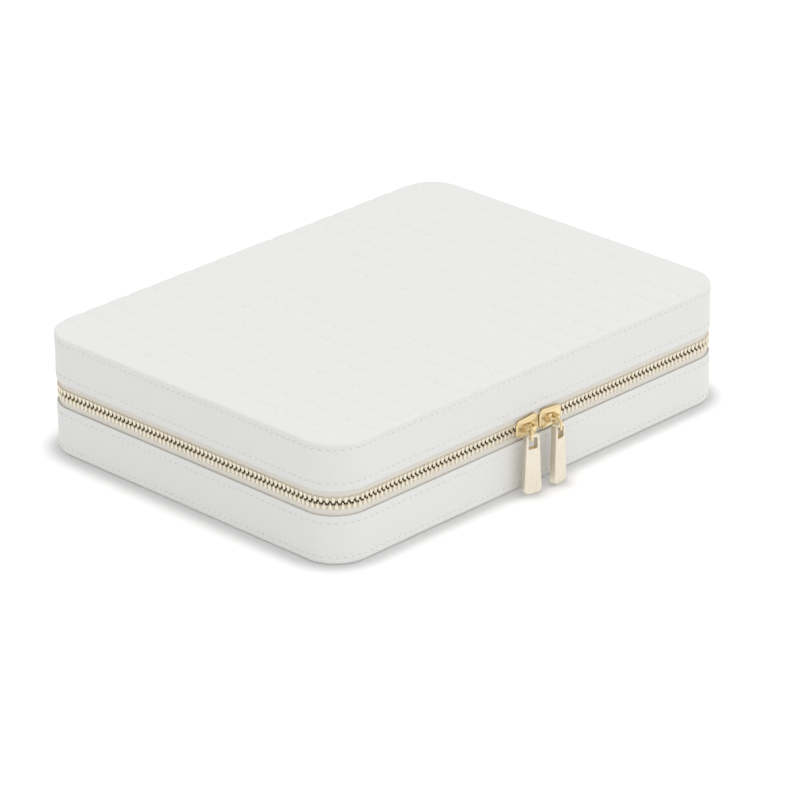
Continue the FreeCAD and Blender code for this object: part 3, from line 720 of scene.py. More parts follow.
def slab(name: str, rings: Sequence[Profile], near: float, far: float, edge: float,
         place: Matrix = STILL) -> Piece:
    """Makes a flat plate from an outline and holes, with rounded rims.

    Args:
        name: The piece's name.
        rings: The outline, then any holes, in the plate's own X and Z.
        near: Own Y of the plate's front.
        far: Own Y of the plate's back.
        edge: Radius of its rims.
        place: Where the plate's own axes lie.

    Returns:
        The new object.
    """
    bends = [math.radians(22.5 * k) for k in range(5)]
    layers = [(edge * (1 - math.sin(a)), near + edge * (1 - math.cos(a))) for a in bends]
    layers += [(inset, near + far - level) for inset, level in reversed(layers)]
    shape = bmesh.new()
    caps = ([], [])
    for number, ring in enumerate(rings):
        rows = []
        for inset, level in layers:
            spots = shifted(ring, inset, hole=number > 0)
            rows.append([shape.verts.new(Vector((across, level, up)) / MM) for across, up in spots])
        wrap(shape, rows)
        for cap, row in zip(caps, (rows[0], rows[-1])):
            cap += [shape.edges.get((row[k - 1], row[k])) for k in range(len(row))]
    for cap in caps:
        bmesh.ops.triangle_fill(shape, edges=cap, use_beauty=True)
    shape.transform(place @ Matrix.Scale(MM, 4))
    return finished(name, shape)


def wrap(shape: bmesh.types.BMesh, rows: Sequence[Sequence[bmesh.types.BMVert]]) -> None:
    """Joins closed rows of points with faces.

    Args:
        shape: The shape that holds the points.
        rows: The rows in order, each with as many points.
    """
    for first, second in zip(rows, rows[1:]):
        for k in range(len(first)):
            shape.faces.new((first[k - 1], first[k], second[k], second[k - 1]))


def shifted(ring: Profile, inset: float, hole: bool) -> Profile:
    """Moves a closed outline into its material.

    Args:
        ring: The outline's points in order.
        inset: How far each side moves.
        hole: Whether the material lies outside the outline.

    Returns:
        The moved outline.
    """
    least_slant = 0.3
    spots = [Vector(spot) for spot in ring]
    turning = sum(a.cross(b) for a, b in zip(spots, spots[1:] + spots[:1]))
    side = math.copysign(inset, turning) * (-1 if hole else 1)
    found = []
    for k, here in enumerate(spots):
        before = (here - spots[k - 1]).normalized()
        after = (spots[(k + 1) % len(spots)] - here).normalized()
        inward = Vector((-before.y - after.y, before.x + after.x)).normalized()
        slant = max(least_slant, inward.dot(Vector((-after.y, after.x))))
        found.append(tuple(here + inward * side / slant))
    return found


def joined(name: str, pieces: Sequence[Piece]) -> Piece:
    """Joins pieces into one, and removes them.

    Args:
        name: The new piece's name.
        pieces: The pieces.

    Returns:
        The new object.
    """
    shape = bmesh.new()
    for piece in pieces:
        shape.from_mesh(piece.data)
        bpy.data.meshes.remove(piece.data)
    return finished(name, shape)


def soft_block(name: str, low: Vector, high: Vector, radius: float, crown_only: bool = False) -> Piece:
    """Makes a block with rounded edges, as a wrapped board or a pad has.

    Args:
        name: The piece's name.
        low: Its lowest corner.
        high: Its highest corner.
        radius: Radius of its edges.
        crown_only: Whether only the edges above its foot are rounded.

    Returns:
        The new object.
    """
    widest = 0.96
    shape = bmesh.new()
    bmesh.ops.create_cube(shape, size=1)
    size = (high - low) / MM
    shape.transform(Matrix.Diagonal((*size, 1)))
    sides = [edge for edge in shape.edges if not crown_only or any(v.co.z > 0 for v in edge.verts)]
    offset = min(radius / MM, min(size) / 2 * widest)
    bmesh.ops.bevel(shape, geom=sides, offset=offset, segments=5, profile=0.5, affect="EDGES")
    shape.transform(Matrix.Translation((low + high) / 2) @ Matrix.Scale(MM, 4))
    return finished(name, shape)


def dress(piece: Piece, finish: Finish, slot: str, body: str, *nodes: str) -> Piece:
    """Gives a piece its finish, its body and the solids that it stands for.

    Args:
        piece: The piece.
        finish: Its finish, unless it has materials already.
        slot: The record's material slot; not used.
        body: The body it rides on.
        nodes: The solids that it stands for.

    Returns:
        The piece.
    """
    if not piece.data.materials:
        piece.data.materials.append(finish.material)
    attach(piece, body)
    if nodes:
        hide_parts(*nodes)
    LOG.info("%s rides on %s, %d faces", piece.name, body, len(piece.data.polygons))
    return piece


def paint(finish: Finish, *nodes: str) -> None:
    """Gives solids that stay as they are a better finish.

    Args:
        finish: The finish.
        nodes: The solids.
    """
    for node in nodes:
        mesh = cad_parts[node].data
        mesh.materials.clear()
        mesh.materials.append(finish.material)
        LOG.info("%s keeps its shape", node)


class Tree:
    """A geometry-node tree with named inputs."""

    def __init__(self, name: str, inputs: dict[str, str]) -> None:
        """Starts a tree that takes geometry.

        Args:
            name: The tree's name.
            inputs: The socket type of each further input, by its name.
        """
        self.group = bpy.data.node_groups.new(name, "GeometryNodeTree")
        face = self.group.interface
        face.new_socket("Geometry", in_out="INPUT", socket_type="NodeSocketGeometry")
        self.keys = {}
        for label, kind in inputs.items():
            self.keys[label] = face.new_socket(label, in_out="INPUT", socket_type=kind).identifier
        face.new_socket("Geometry", in_out="OUTPUT", socket_type="NodeSocketGeometry")
        self.source = self.add("NodeGroupInput")
        self.sink = self.add("NodeGroupOutput")

    def add(self, kind: str, **settings: str) -> bpy.types.Node:
        """Adds a node.

        Args:
            kind: The node's type.
            settings: The node's own settings.

        Returns:
            The node.
        """
        node = self.group.nodes.new(kind)
        for name, value in settings.items():
            setattr(node, name, value)
        return node

    def wire(self, start: bpy.types.Node, output: str, end: bpy.types.Node, target: str) -> None:
        """Links two sockets by name."""
        self.group.links.new(start.outputs[output], end.inputs[target])

    def along_path(self, spaced_by: str) -> tuple[bpy.types.Node, bpy.types.Node]:
        """Adds nodes that space points on a path.

        Args:
            spaced_by: The name of the input that spaces them, Pitch or Count.

        Returns:
            The node with the points and the node with their turns.
        """
        by_length = spaced_by == "Pitch"
        curve = self.add("GeometryNodeMeshToCurve")
        spaced = self.add("GeometryNodeResampleCurve", mode="LENGTH" if by_length else "COUNT")
        tangent = self.add("GeometryNodeInputTangent")
        turn = self.add("FunctionNodeAlignRotationToVector", axis="X", pivot_axis="AUTO")
        self.wire(self.source, "Geometry", curve, "Mesh")
        self.wire(curve, "Curve", spaced, "Curve")
        self.wire(self.source, spaced_by, spaced, "Length" if by_length else "Count")
        self.wire(tangent, "Tangent", turn, "Vector")
        return spaced, turn

    def strew(self, points: bpy.types.Node, turn: bpy.types.Node, shape: bpy.types.Node,
              material: str) -> bpy.types.Node:
        """Adds nodes that set one shape on every point and make it real.

        Args:
            points: The node with the points.
            turn: The node with their turns.
            shape: The node with the shape.
            material: The name of the input with the shape's material.

        Returns:
            The node with the finished geometry.
        """
        spread = self.add("GeometryNodeInstanceOnPoints")
        real = self.add("GeometryNodeRealizeInstances")
        painted = self.add("GeometryNodeSetMaterial")
        self.wire(points, "Curve", spread, "Points")
        self.wire(turn, "Rotation", spread, "Rotation")
        self.wire(shape, "Geometry", spread, "Instance")
        self.wire(spread, "Instances", real, "Geometry")
        self.wire(real, "Geometry", painted, "Geometry")
        self.wire(self.source, material, painted, "Material")
        return painted

    def grow(self, name: str, lines: Sequence[Line], looped: bool, values: dict) -> Piece:
        """Runs the tree on lines and keeps the result as a plain mesh.

        Args:
            name: The piece's name.
            lines: The lines that the tree follows.
            looped: Whether each line closes on itself.
            values: A value for each of the tree's named inputs.

        Returns:
            The new object.
        """
        points = []
        edges = []
        for line in lines:
            first = len(points)
            points += [tuple(point) for point in line]
            edges += [(first + k, first + k + 1) for k in range(len(line) - 1)]
            if looped:
                edges.append((len(points) - 1, first))
        path = bpy.data.meshes.new(f"{name}_path")
        path.from_pydata(points, edges, [])
        piece = new_object(name, path)
        modifier = piece.modifiers.new(name, "NODES")
        modifier.node_group = self.group
        for label, value in values.items():
            modifier[self.keys[label]] = value
        bpy.context.view_layer.update()
        mesh = evaluated(piece)
        piece.modifiers.clear()
        piece.data = mesh
        bpy.data.meshes.remove(path)
        mesh.shade_smooth()
        return piece


@dataclass
class Sewing:
    """Sewn rows: a bead of thread on every pitch, and between two beads a small darker ball that stands for a
    needle hole, its darkness painted shade.
    """

    pitch: float = 3.4 * MM
    bead: float = 2.5 * MM
    thread: float = 0.5 * MM
    hole: float = 0.45 * MM

    def __post_init__(self) -> None:
        """Builds the tree that sews."""
        lengths = dict.fromkeys(("Pitch", "Bead", "Thread", "Hole"), "NodeSocketFloat")
        finishes = dict.fromkeys(("Thread finish", "Hole finish"), "NodeSocketMaterial")
        self.tree = Tree("sewn_row", lengths | finishes)
        points, turn = self.tree.along_path("Pitch")
        bead = self.ball("Bead", "Thread", segments=8, rings=6, between=False)
        # A small darker ball stands for each needle hole: painted shade, not a real hole.
        hole = self.ball("Hole", "Hole", segments=6, rings=4, between=True)
        together = self.tree.add("GeometryNodeJoinGeometry")
        for shape, finish in ((bead, "Thread finish"), (hole, "Hole finish")):
            strewn = self.tree.strew(points, turn, shape, finish)
            self.tree.wire(strewn, "Geometry", together, "Geometry")
        self.tree.wire(together, "Geometry", self.tree.sink, "Geometry")

    def ball(self, length: str, width: str, segments: int, rings: int, between: bool) -> bpy.types.Node:
        """Adds nodes for one small rounded shape along X.

        Args:
            length: The input with its length.
            width: The input with its width.
            segments: Faces round it.
            rings: Faces along it.
            between: Whether it lies half a pitch further along the row.

        Returns:
            The node with the shape.
        """
        tree = self.tree
        ball = tree.add("GeometryNodeMeshUVSphere")
        ball.inputs["Segments"].default_value = segments
        ball.inputs["Rings"].default_value = rings
        ball.inputs["Radius"].default_value = 0.5
        size = tree.add("ShaderNodeCombineXYZ")
        for axis, label in (("X", length), ("Y", width), ("Z", width)):
            tree.wire(tree.source, label, size, axis)
        shape = tree.add("GeometryNodeTransform")
        tree.wire(ball, "Mesh", shape, "Geometry")
        tree.wire(size, "Vector", shape, "Scale")
        if between:
            half = tree.add("ShaderNodeMath", operation="MULTIPLY")
            half.inputs[1].default_value = 0.5
            tree.group.links.new(tree.source.outputs["Pitch"], half.inputs[0])
            shift = tree.add("ShaderNodeCombineXYZ")
            tree.group.links.new(half.outputs[0], shift.inputs["X"])
            tree.wire(shift, "Vector", shape, "Translation")
        return shape

    def sew(self, name: str, lines: Sequence[Line], looped: bool, body: Body, slot: str) -> Piece:
        """Sews along lines.

        Args:
            name: The piece's name.
            lines: The lines to sew.
            looped: Whether each line closes on itself.
            body: The body that it rides on.
            slot: The record's material slot.

        Returns:
            The sewn rows as one piece.
        """
        values = {"Pitch": self.pitch, "Bead": self.bead, "Thread": self.thread, "Hole": self.hole,
                  "Thread finish": Finish.THREAD.material, "Hole finish": Finish.NEEDLE_HOLE.material}
        return dress(self.tree.grow(name, lines, looped, values), Finish.THREAD, slot, body.value)


@dataclass
class Shell:
    """The leather outside of one half of the case: its side band with the two sewn rows."""

    body: Body
    outline: Outline
    rim_row: float
    zip_row: float
    leather: float = 1.2 * MM
    roll: float = 0.55 * MM
    tuck: float = 0.08 * MM
    foot: float = 2.8 * MM
    sink: float = 0.14 * MM
    sink_width: float = 0.7 * MM
    thread_lift: float = 0.04 * MM
    wave: float = 0.05 * MM
    short_wave: float = 19 * MM
    long_wave: float = 31 * MM
    painted_turn: float = 0.75
    flat_steps: int = 9
    step: float = 3.5 * MM

    def __post_init__(self) -> None:
        """Reads the band's levels from its solid."""
        self.node = f"{self.body.value}_side_leather"
        low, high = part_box(self.node)
        lid = self.body is Body.LID
        self.zip_edge = low.z if lid else high.z
        self.rim_edge = high.z if lid else low.z
        self.away = 1 if lid else -1
        self.rows = (self.rim_edge - self.away * self.rim_row, self.zip_edge + self.away * self.zip_row)
        self.stations = self.outline.round_trip(self.step)

    def build(self, sewing: Sewing) -> None:
        """Makes the band and sews it.

        Args:
            sewing: What sews it.
        """
        profile = self.profile()
        rows = [self.section(travel, profile) for travel in self.stations]
        band = skin(f"{self.body.value}_band", rows, looped=True)
        self.paint_edge(band.data)
        dress(band, Finish.LEATHER, "white_leather", self.body.value, self.node)
        self.sew(sewing)

    def paint_edge(self, mesh: bpy.types.Mesh) -> None:
        """Gives the cut edge beside the zip a grey strip of painted shade, on the faces that turn towards the
        zip gap.

        Args:
            mesh: The band's mesh.
        """
        mesh.materials.append(Finish.LEATHER.material)
        mesh.materials.append(Finish.EDGE_PAINT.material)
        # Painted shade: faces near the zip edge that turn towards the gap take the grey.
        for face in mesh.polygons:
            near = abs(face.center.z - self.zip_edge) < self.roll
            if near and face.normal.z * -self.away > self.painted_turn:
                face.material_index = 1

    def profile(self) -> Profile:
        """Draws the band's cross-section: rolled edges and a shallow furrow under each sewn row.

        Returns:
            The cross-section: ways out from the outline, and heights.
        """
        start, end = sorted((self.zip_edge, self.rim_edge))
        low_roll, high_roll = (self.roll, self.tuck) if self.body is Body.LID else (self.tuck, self.roll)
        levels = np.linspace(start + low_roll, end - high_roll, self.flat_steps)[1:-1].tolist()
        for row in self.rows:
            levels += [row + half_steps / 2 * self.sink_width for half_steps in range(-3, 4)]
        inside = -self.leather
        bottom = arc((-low_roll, start + low_roll), low_roll, -90, 0)
        if self.body is Body.BASE:
            turned = math.degrees(math.asin(1 - start / self.foot))
            bottom = arc((-self.foot, self.foot), self.foot, -turned, 0)
            levels = [level for level in levels if level > self.foot]
        top = arc((-high_roll, end - high_roll), high_roll, 0, 90)
        face = [(self.furrow(level), level) for level in sorted(levels)]
        return [(inside, start), *bottom, *face, *top, (inside, end)]

    def furrow(self, level: float) -> float:
        """Returns how far the band's face stands out at a level."""
        pulls = [math.exp(-(((level - row) / self.sink_width) ** 2)) for row in self.rows]
        return -self.sink * max(pulls)

    def section(self, travel: float, profile: Profile) -> Line:
        """Returns the cross-section at a station, with the slight waviness of soft leather.

        Args:
            travel: The station's travel along the outline.
            profile: The cross-section without waves.

        Returns:
            The cross-section's points.
        """
        spot, outward = self.outline.at(travel)
        wave = self.wave * math.sin(travel / self.short_wave) * math.sin(travel / self.long_wave)
        return [spot + outward * (out + (wave if out > -self.roll else 0)) + UP * up for out, up in profile]

    def sew(self, sewing: Sewing) -> None:
        """Sews both rows round the band.

        Args:
            sewing: What sews them.
        """
        lift = self.thread_lift - self.sink
        places = [self.outline.at(travel) for travel in self.stations]
        lines = [[spot + outward * lift + UP * row for spot, outward in places] for row in self.rows]
        sewing.sew(f"{self.body.value}_sewing", lines, True, self.body, "white_leather")


@dataclass
class Panel:
    """A leather or cloth panel with the case's outline, flat or with its own relief."""

    name: str
    outline: Outline
    low: float
    high: float
    rim: float
    relief: Relief = plump
    columns: Sequence[float] = ()
    rim_start: float = 0.0
    face_up: bool = True
    row_step: float = 6 * MM
    corner_steps: int = 20
    middle_columns: int = 24
    turn_rows: Sequence[float] = (0, 0.05, 0.15, 0.3, 0.5, 0.75, 1.0, 1.3)
    flat_rows: Sequence[float] = (1.6, 1.8, 2.0, 2.2, 2.45, 2.9, 3.6, 4.6)
    sharp: float = 60

    def across(self) -> np.ndarray:
        """Spaces the panel's columns of points, closer towards the corners.

        Returns:
            The X of each column.
        """
        turns = np.linspace(0, math.pi / 2, self.corner_steps + 1)
        ends = self.outline.half_front + self.outline.radius * np.sin(turns)
        middle = list(self.columns) or np.linspace(0, self.outline.half_front, self.middle_columns).tolist()
        found = np.concatenate([ends, -ends, middle, np.negative(middle)])
        return np.unique(np.round(found, 6))

    def build(self) -> Piece:
        """Makes the panel.

        Returns:
            The panel as a closed piece.
        """
        across = self.across()
        near = np.array((*self.turn_rows, *self.flat_rows)) * MM
        count = max(2, round(2 * (self.outline.half_depth - near[-1]) / self.row_step))
        reach = self.outline.reach(across)[:, None]
        share = np.linspace(-1, 1, count + 1)[None, 1:-1]
        along = np.hstack([near - reach, share * (reach - near[-1]), reach - near[::-1]])
        wide = np.broadcast_to(across[:, None], along.shape)
        depth = np.clip(self.outline.depth(wide, along), 0, None)
        left = np.clip(self.rim - depth - self.rim_start, 0, None)
        fall = self.rim - np.sqrt(np.clip(self.rim ** 2 - left ** 2, 0, None))
        height = np.clip((self.high - self.low) - fall - self.relief(wide, along, depth), 0, None)
        level = self.low + height if self.face_up else self.high - height
        points = np.stack([wide, along, level], axis=-1).reshape(-1, 3).tolist()
        mesh = new_mesh(self.name, *self.closed(points, *along.shape))
        soften(mesh, self.sharp)
        return new_object(self.name, mesh)

    def closed(self, points: list, columns: int, rows: int) -> tuple[list, list]:
        """Closes a grid of points with a skirt and a back.

        Args:
            points: The grid's points, column by column.
            columns: Number of columns.
            rows: Points in a column.

        Returns:
            The panel's points and faces.
        """
        faces = grid_faces(columns, rows)
        last = (columns - 1) * rows
        border = list(range(rows)) + [c * rows + rows - 1 for c in range(1, columns)]
        border += [last + r for r in range(rows - 2, -1, -1)] + [c * rows for c in range(columns - 2, 0, -1)]
        back = self.low if self.face_up else self.high
        first = len(points)
        points += [[points[k][0], points[k][1], back] for k in border]
        count = len(border)
        for k in range(count):
            nearby = (k + 1) % count
            faces.append((border[k], first + k, first + nearby, border[nearby]))
        faces.append(tuple(range(first, first + count)))
        return points, faces


@dataclass
class Underside:
    """The leather under the base, drawn in under the side band's foot."""

    outline: Outline
    node: str = "base_bottom_panel"

    def build(self, shell: Shell) -> None:
        """Makes the panel.

        Args:
            shell: The base's leather shell.
        """
        low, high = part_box(self.node)
        foot = shell.foot
        drawn_in = foot - math.sqrt(foot ** 2 - (foot - high.z) ** 2)
        panel = Panel("base_underside", self.outline.inset(drawn_in), low.z, high.z, foot, rim_start=drawn_in,
                      face_up=False)
        dress(panel.build(), Finish.LEATHER, "white_leather", Body.BASE.value, self.node)


@dataclass
class QuiltedTop:
    """The lid's top: leather over foam, sewn into straight channels in two fields."""

    outline: Outline
    pitch: float = 13.2 * MM
    band: float = 36.8 * MM
    lines: int = 8
    depth: float = 0.55 * MM
    soft: float = 2.0 * MM
    furrow_power: float = 1.35
    pucker: float = 0.12 * MM
    rim: float = 0.95 * MM
    fade: float = 1.4 * MM
    dent: float = 0.3 * MM
    dent_reach: float = 1.2 * MM
    unevenness: float = 0.35
    wander: float = 7 * MM
    drift: float = 17 * MM
    column_step: float = 1.9 * MM
    edge_room: float = 2 * MM
    thread_sink: float = 0.09 * MM
    sewn_steps: int = 80
    foam_gap: float = 0.1 * MM
    foam_rim: float = 0.9 * MM
    foam_fall: float = 0.3 * MM
    foam_reach: float = 12 * MM

    def __post_init__(self) -> None:
        """Works out where the sewn lines run."""
        self.right = [self.band / 2 + self.pitch * k for k in range(self.lines)]
        self.sewn = [-x for x in reversed(self.right)] + self.right
        self.low, self.high = (corner.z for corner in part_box("lid_quilted_panel"))

    def relief(self, across: np.ndarray, along: np.ndarray, depth: np.ndarray) -> np.ndarray:
        """Works out the furrows at the sewn lines, which dent the rim.

        Args:
            across: Each point's X.
            along: Each point's Y.
            depth: Each point's way in from the rim.

        Returns:
            How far each point lies below the top's crest.
        """
        away = np.abs(across[..., None] - np.array(self.sewn)).min(axis=-1)
        kept = np.clip(depth / self.fade, 0, 1)
        drifting = np.sin(across / self.wander + along / self.drift)
        uneven = 1 + self.unevenness * np.sin(along / self.wander) * drifting
        furrow = self.depth * np.exp(-((away / self.soft) ** self.furrow_power))
        stitch = np.cos(2 * math.pi * along / Sewing.pitch) * np.exp(-away / self.soft)
        dent = self.dent * np.exp(-((away / self.dent_reach) ** 2) - depth / self.dent_reach)
        return kept * uneven * (furrow + self.pucker * stitch) + dent

    def slack(self, across: np.ndarray, along: np.ndarray, depth: np.ndarray) -> np.ndarray:
        """Returns how far the foam falls towards its rim, at each point."""
        return self.foam_fall * np.exp(-depth / self.foam_reach)

    def columns(self) -> list[float]:
        """Spaces the columns of points on one side of the middle, closer at the sewn lines.

        Returns:
            The X of each column.
        """
        found = np.arange(0, self.outline.half_width - self.edge_room, self.column_step).tolist()
        beside = [0.3 * MM, 0.6 * MM, 0.95 * MM, 1.4 * MM]
        for line in self.right:
            found += [line] + [line + offset for offset in beside] + [line - offset for offset in beside]
        return found

    def build(self, sewing: Sewing) -> None:
        """Makes the quilted leather, its sewing and its foam.

        Args:
            sewing: What sews it.
        """
        panel = Panel("lid_quilt", self.outline, self.low, self.high, self.rim, self.relief, self.columns(),
                      row_step=Sewing.pitch / 3)
        quilt = panel.build()
        dress(quilt, Finish.LEATHER, "white_leather", Body.LID.value, "lid_quilted_panel")
        self.sew(sewing)
        low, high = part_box("lid_foam_pad")
        inner = self.outline.within("lid_foam_pad")
        panel = Panel("lid_foam", inner, low.z, high.z - self.foam_gap, self.foam_rim, self.slack)
        foam = panel.build()
        dress(foam, Finish.FOAM, "quilt_foam", Body.LID.value, "lid_foam_pad")

    def sew(self, sewing: Sewing) -> None:
        """Sews the channels from front to back.

        Args:
            sewing: What sews them.
        """
        lines = []
        for line in self.sewn:
            end = float(self.outline.reach(np.array(line))) - self.fade
            along = np.linspace(-end, end, self.sewn_steps)
            across = np.full_like(along, line)
            sunk = self.relief(across, along, self.outline.depth(across, along))
            levels = self.high - sunk - self.thread_sink
            lines.append([Vector((line, y, z)) for y, z in zip(along, levels)])
        sewing.sew("quilt_sewing", lines, False, Body.LID, "white_leather")


@dataclass
class Zip:
    """Both tapes and both rows of teeth, parted between the sliders."""

    outline: Outline
    inset: float = 1.5 * MM
    pitch: float = 2.54 * MM
    lower_teeth: int = 263
    rise: float = 1.2 * MM
    slider_room: float = 0.3 * MM
    tooth_width: float = 1.5 * MM
    head_width: float = 0.8 * MM
    tooth_thick: float = 2.4 * MM
    neck_thick: float = 2.28 * MM
    tip_thick: float = 1.0 * MM
    reach: float = 2.9 * MM
    shoulder: float = 0.8 * MM
    neck: float = 0.35 * MM
    bite: float = 0.25 * MM
    tooth_edge: float = 0.2 * MM
    bevelled_turn: float = 0.6
    tape_half: float = 0.28 * MM
    tape_edge: float = 0.95 * MM
    tape_step: float = 2.5 * MM
    cord_half: float = 1.0 * MM

    def __post_init__(self) -> None:
        """Reads levels and reach from the solids."""
        lower_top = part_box("zipper_tape_lower")[1].z
        upper_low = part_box("zipper_tape_upper")[0].z
        self.level = (lower_top + upper_low) / 2
        self.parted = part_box("right_slider_body")[1].x + self.slider_room
        self.line = self.outline.inset(self.inset)
        self.end = self.line.half_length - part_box("hinge_spine")[1].x - MM

    def parting(self, travel: float) -> float:
        """Returns how far a row stands off the zip line at a station."""
        return self.rise * max(0, 1 - abs(travel) / self.parted)

    def build(self) -> None:
        """Makes tapes and teeth of both rows."""
        tooth = self.tooth()
        inputs = {"Count": "NodeSocketInt", "Tooth": "NodeSocketObject", "Metal": "NodeSocketMaterial"}
        tree = Tree("tooth_row", inputs)
        points, turn = tree.along_path("Count")
        turn.pivot_axis = "Z"
        shape = tree.add("GeometryNodeObjectInfo")
        tree.wire(tree.source, "Tooth", shape, "Object")
        tree.wire(tree.strew(points, turn, shape, "Metal"), "Geometry", tree.sink, "Geometry")
        for body, word, up in ((Body.BASE, "lower", -1), (Body.LID, "upper", 1)):
            self.weave(body, word, up)
            self.set_teeth(tree, tooth, body, word, up)
        bpy.data.meshes.remove(tooth.data)
        paint(Finish.TEETH, "zipper_stops_lower", "zipper_stops_upper")

    def weave(self, body: Body, word: str, up: int) -> None:
        """Makes one tape, with a corded edge, darker with painted shade where the teeth stand.

        Args:
            body: The body that it rides on.
            word: Its row's name.
            up: 1 for the upper row, -1 for the lower.
        """
        node = f"zipper_tape_{word}"
        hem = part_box(node)[max(up, 0)].z
        half = self.tape_half
        rows = []
        for travel in self.line.travels(self.end, self.tape_step):
            spot, outward = self.line.at(travel)
            edge = self.level + up * (self.tape_edge + self.parting(travel))
            neck = self.level + up * (self.reach + self.parting(travel))
            section = [(-half, hem), (-half, neck), *self.cord(edge, neck), (half, neck), (half, hem)]
            rows.append([spot + outward * out + UP * level for out, level in section])
        tape = skin(f"tape_{word}", rows, looped=False)
        tape.data.materials.append(Finish.TAPE.material)
        tape.data.materials.append(Finish.CORD.material)
        # Painted shade: faces within the teeth's reach of the zip line take the darker cord colour.
        for face in tape.data.polygons:
            face.material_index = int(abs(face.center.z - self.level) < self.reach)
        dress(tape, Finish.TAPE, "zip_tape", body.value, node)

    def cord(self, edge: float, neck: float) -> Profile:
        """Returns the round of the cord that the teeth clasp.

        Args:
            edge: Height of its free side.
            neck: Height of its side at the tape.

        Returns:
            The round, from its inner to its outer side.
        """
        angles = [math.radians(a) for a in range(-150, 151, 30)]
        middle = (edge + neck) / 2
        half_height = (edge - neck) / 2
        return [(self.cord_half * math.sin(a), middle + half_height * math.cos(a)) for a in angles]

    def tooth(self) -> Piece:
        """Makes one tooth of the upper row, its head down, at the origin.

        Returns:
            The tooth.
        """
        root = (self.tooth_width, self.tooth_thick)
        levels = ((self.reach, *root), (self.shoulder, *root), (self.neck, self.head_width, self.neck_thick),
                  (-self.bite, self.head_width, self.tip_thick))
        shape = bmesh.new()
        rings = []
        for level, width, thick in levels:
            corners = ((-1, -1), (1, -1), (1, 1), (-1, 1))
            spots = [Vector((a * width / 2, b * thick / 2, level)) / MM for a, b in corners]
            rings.append([shape.verts.new(spot) for spot in spots])
        wrap(shape, rings)
        shape.faces.new(rings[0])
        shape.faces.new(rings[-1][::-1])
        bmesh.ops.recalc_face_normals(shape, faces=shape.faces)
        sides = [edge for edge in shape.edges if edge.calc_face_angle(0) > self.bevelled_turn]
        offset = self.tooth_edge / MM
        bmesh.ops.bevel(shape, geom=sides, offset=offset, segments=2, profile=0.5, affect="EDGES")
        shape.transform(Matrix.Scale(MM, 4))
        mesh = bpy.data.meshes.new("tooth")
        shape.to_mesh(mesh)
        shape.free()
        mesh.shade_smooth()
        return new_object("tooth", mesh)

    def set_teeth(self, tree: Tree, tooth: Piece, body: Body, word: str, up: int) -> None:
        """Sets one row of teeth along the zip line.

        Args:
            tree: The tree that sets them.
            tooth: A tooth of the upper row.
            body: The body that they ride on.
            word: The row's name.
            up: 1 for the upper row, -1 for the lower.
        """
        count = self.lower_teeth if up < 0 else self.lower_teeth - 1
        end = (count - 1) / 2 * self.pitch
        line = []
        for travel in self.line.travels(end, self.pitch / 2, corner_steps=40):
            level = self.level + up * self.parting(travel)
            line.append(self.line.at(travel)[0] + UP * level)
        turned = Matrix.Rotation(math.pi if up < 0 else 0, 4, "X")
        tooth.data.transform(turned)
        values = {"Count": count, "Tooth": tooth, "Metal": Finish.TEETH.material}
        row = tree.grow(f"teeth_{word}", [line], False, values)
        tooth.data.transform(turned)
        dress(row, Finish.TEETH, "zip_metal", body.value, f"zipper_teeth_{word}")


